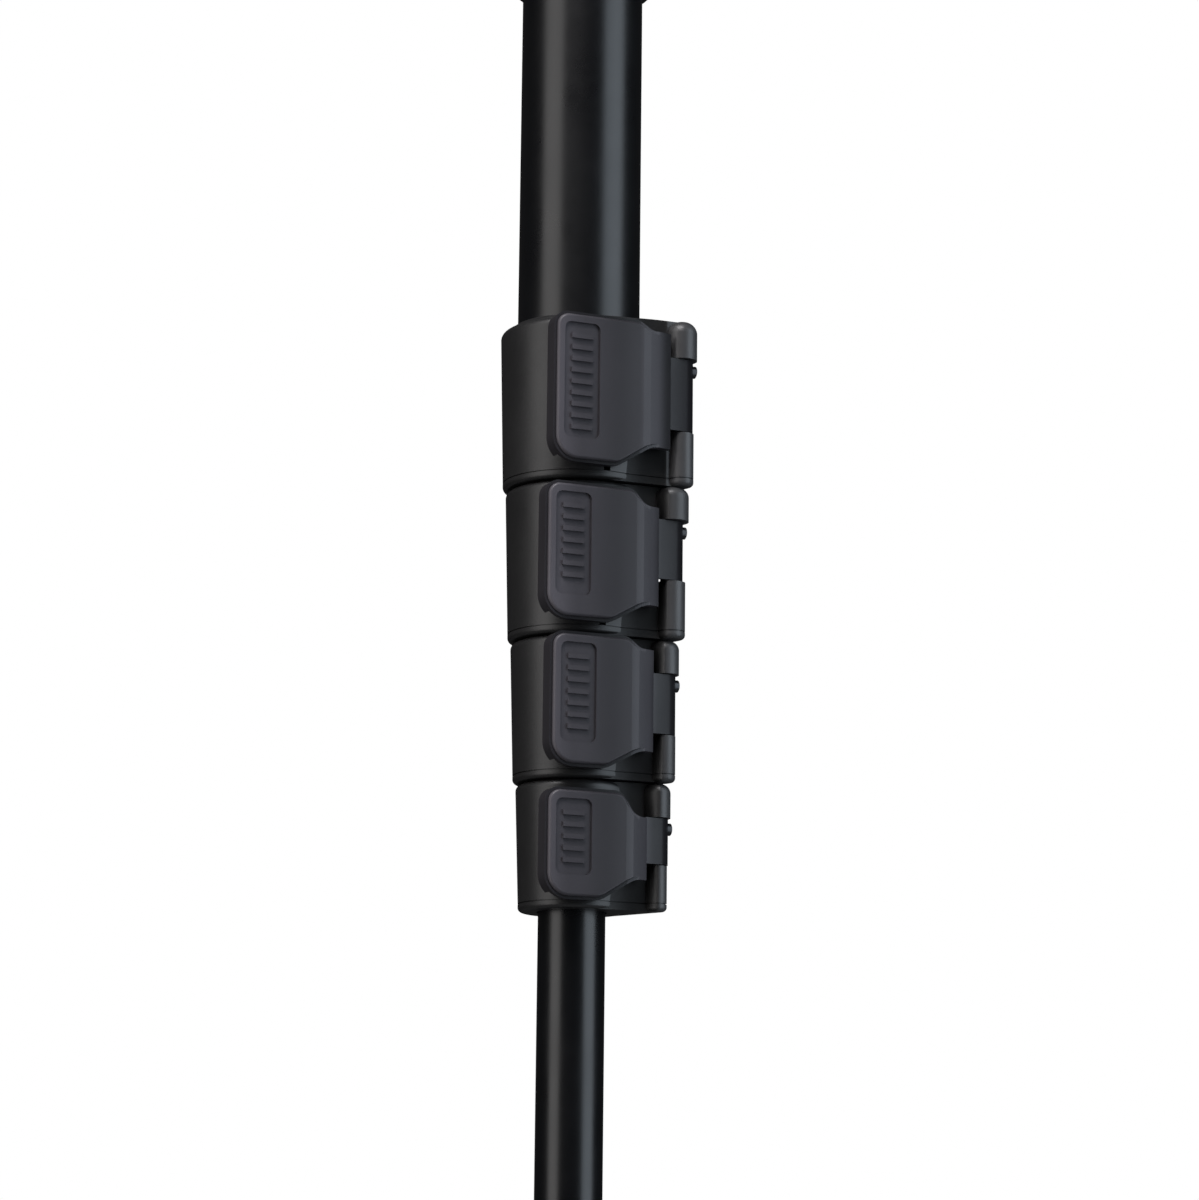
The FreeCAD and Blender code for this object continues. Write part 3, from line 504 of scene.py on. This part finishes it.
@dataclass(frozen=True)
class LeverFinish(PaintedShadeFinish):
    """A finish with painted light and shade across the front, and painted shade in the border and
    on the sides round each lever's plate.
    """

    face: float = -27.0 * MM
    face_step: float = 2.1 * MM
    breaks: tuple[float, ...] = (-381.0 * MM, -425.5 * MM, -469.0 * MM)
    sunk: tuple[float, float] = (0.8 * MM, 1.05 * MM)
    # level of the painted shade in the border and on the sides of each plate
    recess_shade: float = 0.3

    def reach(self, graph: Graph) -> bpy.types.NodeSocket:
        """Finds how deep a spot lies below its plate's face, which steps back at each break.

        Args:
            graph: the material's graph.

        Returns:
            A share that falls to the painted shade's level in the border and on the sides.
        """
        place = graph.spot_parts()
        depth = graph.math("SUBTRACT", place[1], self.face)
        for height in self.breaks:
            below = graph.math("LESS_THAN", place[2], height)
            depth = graph.math("SUBTRACT", depth, graph.math("MULTIPLY", below, self.face_step))
        # Painted shade: the colour darkens where the surface lies sunk behind the plate's face, as
        # in the border and on the sides.
        level = graph.spread(depth, 1.0, self.recess_shade, *self.sunk)
        past = graph.math("GREATER_THAN", place[0], self.middle - self.sunk[1])
        return graph.math("MAXIMUM", level, past)


FINISHES = (
    LinedFinish(Slot.ANODISED, (0.0022, 0.0024, 0.003), (0.003, 0.0032, 0.004), (0.26, 0.33),
                grain_depth=0.003 * MM, across=3000.0, along=25.0, line_depth=0.002 * MM),
    # Painted shade across the collar's front: darkened over most of it, darkest on the boss and web
    # beside the hinge, with the hinge lugs kept near full colour.
    PaintedShadeFinish(Slot.COLLAR, (0.04, 0.04, 0.041), (0.058, 0.058, 0.06), (0.36, 0.46),
               speckle=0.4, grain_scale=3200.0, grain_depth=0.012 * MM,
               across=60.0, along=1500.0, line_depth=0.03 * MM,
               painted_shade=((-30.0, 0.25), (8.0, 0.25), (12.0, 0.1), (18.5, 0.1), (20.5, 0.95),
                     (30.0, 0.95), (31.0, 0.95), (32.0, 0.95))),
    # Painted light and shade across the lever's front: paler on the plate's left, darker in its
    # middle, a paler band at the ridge as a painted highlight, painted shade on the knuckle.
    LeverFinish(Slot.LEVER, (0.078, 0.0735, 0.084), (0.098, 0.093, 0.106), (0.32, 0.42),
                speckle=0.35, grain_scale=3600.0, grain_depth=0.008 * MM, specular=0.25,
                across=80.0, along=2200.0, line_depth=0.003 * MM,
                painted_shade=((-19.0, 1.0), (-9.0, 0.55), (3.0, 0.3), (7.5, 0.33), (10.0, 0.5),
                      (14.0, 0.52), (18.0, 0.14), (30.0, 0.14)),
                middle=9.6 * MM, end=30.0 * MM, left=-3.5, right=-12.0),
    Finish(Slot.CAP, (0.013, 0.013, 0.014), (0.018, 0.018, 0.019), (0.48, 0.6),
           specular=0.4),
    Finish(Slot.FOAM, (0.014, 0.014, 0.015), (0.021, 0.021, 0.022), (0.85, 0.95),
           speckle=0.5, grain_scale=1500.0, grain_coarse=0.75, grain_depth=0.12 * MM,
           specular=0.25, sheen=0.15),
    Finish(Slot.PAD, (0.022, 0.022, 0.023), (0.03, 0.03, 0.031), (0.7, 0.8), specular=0.3),
    Finish(Slot.FOOT, (0.016, 0.016, 0.0165), (0.023, 0.023, 0.0235), (0.62, 0.75),
           grain_scale=1800.0, grain_depth=0.03 * MM, specular=0.35),
    LinedFinish(Slot.STEEL, (0.05, 0.05, 0.052), (0.075, 0.075, 0.078), (0.34, 0.44),
                metallic=1.0, grain_depth=0.002 * MM, across=200.0, along=4000.0),
    LinedFinish(Slot.BRASS, (0.62, 0.43, 0.17), (0.70, 0.50, 0.22), (0.22, 0.34),
                metallic=1.0, grain_depth=0.002 * MM, across=200.0, along=4000.0),
    Finish(Slot.NYLON, (0.62, 0.61, 0.57), (0.68, 0.67, 0.63), (0.4, 0.5),
           grain_depth=0.01 * MM),
    Finish(Slot.LINER, (0.045, 0.045, 0.047), (0.055, 0.055, 0.057), (0.4, 0.5),
           grain_depth=0.01 * MM),
)


class Wardrobe:
    """Makes every finish and dresses pieces with it by the record's slot names."""

    def __init__(self) -> None:
        """Builds the shared effects and one material for each slot."""
        effects = Effects()
        self.materials = {finish.slot: finish.make(effects) for finish in FINISHES}

    def dress_frame(self) -> None:
        """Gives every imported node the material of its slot."""
        for entry in frame["record"]["subparts"]:
            node = frame["nodes"][entry["node"]]
            for place in node.material_slots:
                place.material = self.materials[Slot(entry["material_slot"])]
        LOG.info("dressed %d packed nodes", len(frame["nodes"]))


class ShapeTree:
    """A geometry node tree with named inputs, which gives plain meshes."""

    def __init__(self, name: str, inputs: list[Socket]) -> None:
        """Makes the empty tree.

        Args:
            name: the tree's name.
            inputs: its named sizes; a Material input is added.
        """
        self.group = Group(
            name, "GeometryNodeTree",
            [Socket("Shape", Port.SHAPE), *inputs, Socket("Material", Port.MATERIAL)],
            [Socket("Shape", Port.SHAPE)])
        self.graph = self.group.graph
        self.inlet = self.group.inlet

    def close(self, shape: bpy.types.NodeSocket) -> None:
        """Ends the tree, made whole and given its material.

        Args:
            shape: the geometry to give out.
        """
        graph = self.graph
        whole = graph.add("GeometryNodeRealizeInstances", {"Geometry": shape}).outputs[0]
        self.group.give("Shape", graph.add("GeometryNodeSetMaterial", {
            "Geometry": whole, "Material": self.inlet["Material"]}).outputs[0])

    def lifted(self, shape: bpy.types.NodeSocket,
               height: bpy.types.NodeSocket) -> bpy.types.NodeSocket:
        """Returns the geometry moved up by this height."""
        return self.graph.add("GeometryNodeTransform", {
            "Geometry": shape, "Translation": self.graph.add(
                "ShaderNodeCombineXYZ", {2: height}).outputs[0]}).outputs[0]

    def bake(self, name: str, values: dict, material: bpy.types.Material) -> bpy.types.Mesh:
        """Evaluates the tree with these sizes.

        Args:
            name: name of the mesh.
            values: a value for each named input.
            material: what the mesh is dressed with.

        Returns:
            A plain mesh.
        """
        seed = bpy.data.objects.new("seed", bpy.data.meshes.new("seed"))
        bpy.context.scene.collection.objects.link(seed)
        modifier = seed.modifiers.new("shape", "NODES")
        modifier.node_group = self.group.tree
        identifiers = {
            item.name: item.identifier for item in self.group.tree.interface.items_tree
            if item.item_type == "SOCKET" and item.in_out == "INPUT"}
        for key, value in {**values, "Material": material}.items():
            modifier[identifiers[key]] = value
        graph = bpy.context.evaluated_depsgraph_get()
        graph.update()
        mesh = bpy.data.meshes.new_from_object(seed.evaluated_get(graph))
        mesh.name = name
        seed.modifiers.clear()
        bpy.data.objects.remove(seed)
        return mesh


def lathe(name: str, outline: list[tuple[float, float]], sides: int) -> bpy.types.Mesh:
    """Turns a closed outline about the leg's axis.

    Args:
        name: name of the mesh.
        outline: radius and height of each point, in metres; the last joins the first.
        sides: facets round the axis.

    Returns:
        The closed mesh, with its faces outwards.
    """
    shape = bmesh.new()
    rings = []
    for radius, height in outline:
        rings.append([shape.verts.new((radius * math.cos(math.tau * side / sides),
                                       radius * math.sin(math.tau * side / sides), height))
                      for side in range(sides)])
    for here, there in zip(rings, rings[1:] + rings[:1]):
        for side in range(sides):
            after = (side + 1) % sides
            shape.faces.new((here[side], here[after], there[after], there[side]))
    bmesh.ops.remove_doubles(shape, verts=shape.verts, dist=MERGE)
    bmesh.ops.recalc_face_normals(shape, faces=shape.faces)
    mesh = bpy.data.meshes.new(name)
    shape.to_mesh(mesh)
    shape.free()
    return mesh


def put(mesh: bpy.types.Mesh, replaced: tuple[str, ...] = ()) -> bpy.types.Object:
    """Adds a mesh to the scene as a piece of the upper leg.

    Args:
        mesh: the piece's mesh, in place.
        replaced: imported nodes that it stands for.

    Returns:
        The piece.
    """
    piece = bpy.data.objects.new(mesh.name, mesh)
    bpy.context.scene.collection.objects.link(piece)
    mesh.shade_smooth()
    mesh.set_sharp_from_angle(angle=SHARP_ANGLE)
    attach(piece, UPPER_LEG)
    if replaced:
        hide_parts(*replaced)
    LOG.info("made %s with %d faces", piece.name, len(mesh.polygons))
    return piece


@dataclass
class HandGrip:
    """Foam sleeve on the upper section."""

    wardrobe: Wardrobe
    play: float = 0.05 * MM
    corner: float = 2.6 * MM
    corner_points: int = 5
    crown: float = 0.35 * MM
    groove: float = 0.7 * MM
    groove_pitch: float = 7.0 * MM
    groove_power: float = 4.0
    first_groove: float = 0.6
    last_groove: float = 4.5
    skin: float = 0.6
    sides: int = 96
    step: float = 1.2 * MM
    fill: float = 0.95

    def build(self) -> None:
        """Makes the sleeve with ringed ends and a slightly crowned middle."""
        low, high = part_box("foam_grip")
        bore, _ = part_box("tube_1")
        mesh = self.make_tree().bake("hand_grip", {
            "Inner": self.play - bore.x, "Outer": high.x, "Low": low.z, "High": high.z,
            "Corner": self.corner, "Crown": self.crown, "Groove": self.groove,
            "Pitch": self.groove_pitch, "Step": self.step, "Sides": self.sides,
        }, self.wardrobe.materials[Slot.FOAM])
        piece = put(mesh, ("foam_grip",))

    def make_tree(self) -> ShapeTree:
        """Sleeve: a rounded wall section swept round the leg, then pressed in by rings.

        Returns:
            The tree, with the sleeve's sizes as its inputs.
        """
        tree = ShapeTree("foam_sleeve", [
            Socket(name, Port.FLOAT) for name in
            ("Inner", "Outer", "Low", "High", "Corner", "Crown", "Groove", "Pitch", "Step")
        ] + [Socket("Sides", Port.WHOLE)])
        graph, inlet = tree.graph, tree.inlet
        wall = graph.math("SUBTRACT", inlet["Outer"], inlet["Inner"])
        length = graph.math("SUBTRACT", inlet["High"], inlet["Low"])
        half_length = graph.math("MULTIPLY", length, HALF)
        middle = graph.math("MULTIPLY", graph.math("ADD", inlet["High"], inlet["Low"]), HALF)
        mean = graph.math("MULTIPLY", graph.math("ADD", inlet["Outer"], inlet["Inner"]), HALF)
        section = graph.add("GeometryNodeCurvePrimitiveQuadrilateral", {
            "Width": wall, "Height": length}).outputs[0]
        rounded = graph.add("GeometryNodeFilletCurve", {
            "Curve": section, "Radius": inlet["Corner"], "Count": self.corner_points},
            mode="POLY").outputs[0]
        stepped = graph.add("GeometryNodeResampleCurve", {
            "Curve": rounded, "Length": inlet["Step"]}, mode="LENGTH").outputs[0]
        round_path = graph.add("GeometryNodeCurvePrimitiveCircle", {
            "Resolution": inlet["Sides"], "Radius": mean}).outputs[0]
        swept = graph.add("GeometryNodeCurveToMesh", {
            "Curve": round_path, "Profile Curve": stepped}).outputs[0]
        place = graph.add("ShaderNodeSeparateXYZ", {
            0: graph.add("GeometryNodeInputPosition").outputs[0]}).outputs
        reach = graph.math("SQRT", graph.math(
            "ADD", graph.math("MULTIPLY", place[0], place[0]),
            graph.math("MULTIPLY", place[1], place[1])))
        share = graph.math("DIVIDE", graph.math("SUBTRACT", reach, inlet["Inner"]), wall)
        from_end = graph.math("SUBTRACT", half_length, graph.math("ABSOLUTE", place[2]))
        rings = graph.math("COSINE", graph.math(
            "DIVIDE", graph.math("MULTIPLY", from_end, math.tau), inlet["Pitch"]))
        deep = graph.math("POWER", graph.math("MAXIMUM", rings, 0.0), self.groove_power)
        near_end = graph.math("LESS_THAN", from_end, graph.math(
            "MULTIPLY", inlet["Pitch"], self.last_groove))
        off_edge = graph.math("GREATER_THAN", from_end, graph.math(
            "MULTIPLY", inlet["Pitch"], self.first_groove))
        pressed = graph.math("MULTIPLY", graph.math("MULTIPLY", deep, inlet["Groove"]),
                             graph.math("MULTIPLY", near_end, off_edge))
        hollow = graph.math("MULTIPLY", inlet["Crown"], graph.math(
            "ABSOLUTE", graph.math("DIVIDE", place[2], half_length)))
        inward = graph.math("MULTIPLY", graph.math("ADD", pressed, hollow),
                            graph.math("GREATER_THAN", share, self.skin))
        shrink = graph.math("SUBTRACT", 1.0, graph.math("DIVIDE", inward, reach))
        spot = graph.add("ShaderNodeCombineXYZ", {
            0: graph.math("MULTIPLY", place[0], shrink),
            1: graph.math("MULTIPLY", place[1], shrink),
            2: graph.math("ADD", place[2], middle)}).outputs[0]
        tree.close(graph.add("GeometryNodeSetPosition", {
            "Geometry": swept, "Position": spot}).outputs[0])
        return tree


@dataclass
class CameraEnd:
    """Platform pad with raised rings, and the reversible stud with its thread."""

    wardrobe: Wardrobe
    pad_gap: float = 0.3 * MM
    rib_radius: float = 0.45 * MM
    rib_pitch: float = 2.1 * MM
    rib_sides: int = 8
    pad_sides: int = 128
    small_radius: float = 3.175 * MM
    thread_pitch: float = 1.5875 * MM
    thread_depth: float = 0.55 * MM
    small_share: float = 0.7
    thread_start: float = 0.6 * MM
    turn_points: int = 40
    ridge_sides: int = 4
    relief_radius: float = 4.0 * MM
    relief_depth: float = 1.5 * MM
    hub: float = 0.01 * MM
    chamfer: float = 0.8 * MM
    sides: int = 64

    def build(self) -> None:
        """Makes the pad and the threaded stud."""
        self.build_pad()
        self.build_stud()

    def build_pad(self) -> None:
        """Makes the ringed rubber pad."""
        low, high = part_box("platform_pad")
        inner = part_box("camera_stud")[1].x + self.pad_gap
        mesh = self.make_pad_tree().bake("ringed_pad", {
            "Inner": inner, "Outer": high.x, "Low": low.z, "High": high.z,
            "Rib": self.rib_radius, "Pitch": self.rib_pitch,
            "Rings": int((high.x - inner) / self.rib_pitch) - 1,
        }, self.wardrobe.materials[Slot.PAD])
        put(mesh, ("platform_pad",))

    def make_pad_tree(self) -> ShapeTree:
        """Pad: a flat ring with a row of round ribs, one inside the other.

        Returns:
            The tree, with the pad's sizes as its inputs.
        """
        tree = ShapeTree("ringed_pad", [
            Socket(name, Port.FLOAT) for name in ("Inner", "Outer", "Low", "High", "Rib", "Pitch")
        ] + [Socket("Rings", Port.WHOLE)])
        graph, inlet = tree.graph, tree.inlet
        base_top = graph.math("SUBTRACT", inlet["High"], inlet["Rib"])
        mean = graph.math("MULTIPLY", graph.math("ADD", inlet["Inner"], inlet["Outer"]), HALF)
        base = graph.add("GeometryNodeCurveToMesh", {
            "Curve": graph.add("GeometryNodeCurvePrimitiveCircle", {
                "Resolution": self.pad_sides, "Radius": mean}).outputs[0],
            "Profile Curve": graph.add("GeometryNodeCurvePrimitiveQuadrilateral", {
                "Width": graph.math("SUBTRACT", inlet["Outer"], inlet["Inner"]),
                "Height": graph.math("SUBTRACT", base_top, inlet["Low"])}).outputs[0],
        }).outputs[0]
        base_middle = graph.math("MULTIPLY", graph.math("ADD", base_top, inlet["Low"]), HALF)
        reach = graph.math("ADD", graph.math("ADD", inlet["Inner"], inlet["Pitch"]), graph.math(
            "MULTIPLY", graph.add("GeometryNodeInputIndex").outputs[0], inlet["Pitch"]))
        rings = graph.add("GeometryNodeInstanceOnPoints", {
            "Points": graph.add("GeometryNodePoints", {"Count": inlet["Rings"]}).outputs[0],
            "Instance": graph.add("GeometryNodeCurvePrimitiveCircle", {
                "Resolution": self.pad_sides, "Radius": 1.0}).outputs[0],
            "Scale": graph.add("ShaderNodeCombineXYZ", {0: reach, 1: reach, 2: 1.0}).outputs[0],
        }).outputs[0]
        ribs = graph.add("GeometryNodeCurveToMesh", {
            "Curve": graph.add("GeometryNodeRealizeInstances", {"Geometry": rings}).outputs[0],
            "Profile Curve": graph.add("GeometryNodeCurvePrimitiveCircle", {
                "Resolution": self.rib_sides, "Radius": inlet["Rib"]}).outputs[0]}).outputs[0]
        joined = graph.add("GeometryNodeJoinGeometry")
        graph.feed(joined.inputs[0], tree.lifted(base, base_middle))
        graph.feed(joined.inputs[0], tree.lifted(ribs, base_top))
        tree.close(joined.outputs[0])
        return tree

    def build_stud(self) -> None:
        """Makes the stud: a turned core with a raised helix on each end."""
        low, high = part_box("camera_stud")
        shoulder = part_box("platform_disc")[0].z
        small_depth = self.thread_depth * self.small_share
        core, small_core = high.x - self.thread_depth, self.small_radius - small_depth
        mesh = lathe("camera_stud_core", [
            (self.hub, low.z), (small_core - self.chamfer, low.z),
            (small_core, low.z + self.chamfer), (small_core, shoulder), (core, shoulder),
            (core, -self.relief_depth), (self.relief_radius, -self.relief_depth),
            (self.relief_radius, 0.0), (core, 0.0), (core, high.z - self.chamfer),
            (core - self.chamfer, high.z), (self.hub, high.z)], self.sides)
        steel = self.wardrobe.materials[Slot.STEEL]
        mesh.materials.append(steel)
        put(mesh, ("camera_stud",))
        tree = self.make_thread_tree()
        for name, radius, depth, start, end in (
                ("camera_stud_thread", core, self.thread_depth, self.thread_start,
                 high.z - self.chamfer),
                ("small_stud_thread", small_core, small_depth, low.z + self.chamfer,
                 shoulder - self.thread_start)):
            put(tree.bake(name, {
                "Radius": radius, "Depth": depth, "Pitch": self.thread_pitch,
                "Start": start, "End": end}, steel))

    def make_thread_tree(self) -> ShapeTree:
        """Screw thread: a pointed ridge on a helix about the leg's axis.

        Returns:
            The tree, with the thread's sizes as its inputs.
        """
        tree = ShapeTree("screw_thread", [
            Socket(name, Port.FLOAT) for name in ("Radius", "Depth", "Pitch", "Start", "End")])
        graph, inlet = tree.graph, tree.inlet
        length = graph.math("SUBTRACT", inlet["End"], inlet["Start"])
        spiral = graph.add("GeometryNodeCurveSpiral", {
            "Resolution": self.turn_points,
            "Rotations": graph.math("DIVIDE", length, inlet["Pitch"]),
            "Start Radius": inlet["Radius"], "End Radius": inlet["Radius"], "Height": length})
        upright = graph.add(
            "GeometryNodeSetCurveNormal", {"Curve": spiral.outputs[0]}, mode="Z_UP")
        ridge = graph.add("GeometryNodeCurveToMesh", {
            "Curve": upright.outputs[0],
            "Profile Curve": graph.add("GeometryNodeCurvePrimitiveCircle", {
                "Resolution": self.ridge_sides, "Radius": inlet["Depth"]}).outputs[0],
            "Fill Caps": True}).outputs[0]
        tree.close(tree.lifted(ridge, inlet["Start"]))
        return tree


@dataclass(frozen=True)
class SoftBox:
    """One soft lamp: degrees to the right of the camera and above the aim, sizes in metres."""

    name: str
    aside: float
    lift: float
    distance: float
    width: float
    height: float
    radiance: float
    colour: Colour


LAMPS = (
    SoftBox("left_box", -54.5, 6.0, 1.3, 0.85, 2.0, 2.0, (1.0, 0.98, 0.97)),
    SoftBox("right_box", 66.0, 6.0, 1.3, 0.95, 2.0, 2.6, (0.8, 0.9, 1.0)),
    SoftBox("top_box", -22.0, 56.0, 1.7, 1.0, 0.8, 11.0, (1.0, 0.98, 1.0)),
)


@dataclass
class Studio:
    """White surroundings, soft lamps, a pale floor and the camera."""

    azimuth: float = -24.0
    elevation: float = -11.0
    roll: float = 0.62
    distance: float = 1.037
    aim_height: float = -0.4134
    lens: float = 105.5
    aside: float = 7.1 * MM
    floor_height: float = -1.80
    floor_size: float = 60.0
    floor_colour: Colour = (0.35, 0.35, 0.35)
    ambient: float = 0.03
    glossy: float = 0.02

    def build(self) -> None:
        """Sets up the world, the lamps, the floor and the camera."""
        self.build_world()
        for box in LAMPS:
            self.build_lamp(box)
        self.build_floor()
        self.build_camera()

    @property
    def aim(self) -> Vector:
        """The point that the camera and the lamps face."""
        return Vector((0.0, 0.0, self.aim_height))

    @staticmethod
    def toward(azimuth: float, elevation: float) -> Vector:
        """Turns two angles into a direction from the object.

        Args:
            azimuth: degrees to the right of the front.
            elevation: degrees above the level.

        Returns:
            The direction, of unit length.
        """
        turn, lift = math.radians(azimuth), math.radians(elevation)
        return Vector((math.sin(turn) * math.cos(lift), -math.cos(turn) * math.cos(lift),
                       math.sin(lift)))

    def build_world(self) -> None:
        """White to the camera and through clear pieces, nearly dark as fill and in gloss."""
        world = bpy.data.worlds.new("surroundings")
        bpy.context.scene.world = world
        world.use_nodes = True
        world.node_tree.nodes.clear()
        graph = Graph(world.node_tree)
        path = graph.add("ShaderNodeLightPath").outputs
        seen = graph.math("MAXIMUM", path["Is Camera Ray"], path["Is Transmission Ray"])
        dim = graph.mix(path["Is Glossy Ray"], self.ambient, self.glossy)
        strength = graph.mix(seen, dim, 1.0)
        shader = graph.add("ShaderNodeBackground", {
            "Color": WHITE, "Strength": strength})
        graph.add("ShaderNodeOutputWorld", {"Surface": shader.outputs[0]})

    def build_lamp(self, box: SoftBox) -> None:
        """Adds one soft lamp that the camera doesn't see.

        Args:
            box: where it stands, its size and its light.
        """
        data = bpy.data.lights.new(box.name, "AREA")
        data.shape = "RECTANGLE"
        data.size, data.size_y = box.width, box.height
        data.color = box.colour
        data.energy = box.radiance * math.pi * box.width * box.height
        lamp = bpy.data.objects.new(box.name, data)
        bpy.context.scene.collection.objects.link(lamp)
        way = self.toward(self.azimuth + box.aside, box.lift)
        lamp.location = self.aim + way * box.distance
        lamp.rotation_euler = way.to_track_quat("Z", "Y").to_euler()
        lamp.visible_camera = False

    def build_floor(self) -> None:
        """Adds the pale floor, low enough for the leg at full length."""
        half = self.floor_size * HALF
        mesh = bpy.data.meshes.new("floor")
        mesh.from_pydata([(-half, -half, self.floor_height), (half, -half, self.floor_height),
                          (half, half, self.floor_height), (-half, half, self.floor_height)],
                         [], [(0, 1, 2, 3)])
        floor = bpy.data.objects.new("floor", mesh)
        bpy.context.scene.collection.objects.link(floor)
        material = bpy.data.materials.new("floor_paper")
        material.use_nodes = True
        material.node_tree.nodes.clear()
        graph = Graph(material.node_tree)
        path = graph.add("ShaderNodeLightPath").outputs
        paper = graph.add("ShaderNodeBsdfDiffuse", {"Color": (*self.floor_colour, 1.0)}).outputs[0]
        white = graph.add("ShaderNodeEmission", {"Color": WHITE}).outputs[0]
        graph.add("ShaderNodeOutputMaterial", {"Surface": graph.add("ShaderNodeMixShader", {
            0: path["Is Camera Ray"], 1: paper, 2: white}).outputs[0]})
        mesh.materials.append(material)

    def build_camera(self) -> None:
        """Adds the camera at the photograph's angle."""
        data = bpy.data.cameras.new("camera")
        data.lens = self.lens
        data.sensor_width = SENSOR_WIDTH
        camera = bpy.data.objects.new("camera", data)
        bpy.context.scene.collection.objects.link(camera)
        back = self.toward(self.azimuth, self.elevation)
        right = Vector((math.cos(math.radians(self.azimuth)),
                        math.sin(math.radians(self.azimuth)), 0.0))
        up = back.cross(right)
        turn = math.radians(self.roll)
        tilted_right = right * math.cos(turn) + up * math.sin(turn)
        tilted_up = up * math.cos(turn) - right * math.sin(turn)
        facing = Matrix((tilted_right, tilted_up, back)).transposed()
        camera.matrix_world = Matrix.Translation(
            self.aim + back * self.distance + right * self.aside) @ facing.to_4x4()
        bpy.context.scene.camera = camera


def main() -> None:
    """Builds the dressed monopod and its studio."""
    logging.basicConfig(level=logging.INFO, format="%(message)s")
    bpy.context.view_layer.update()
    bpy.context.scene.view_settings.view_transform = "Standard"
    wardrobe = Wardrobe()
    wardrobe.dress_frame()
    HandGrip(wardrobe).build()
    CameraEnd(wardrobe).build()
    Studio().build()


if __name__ == "__main__":
    main()
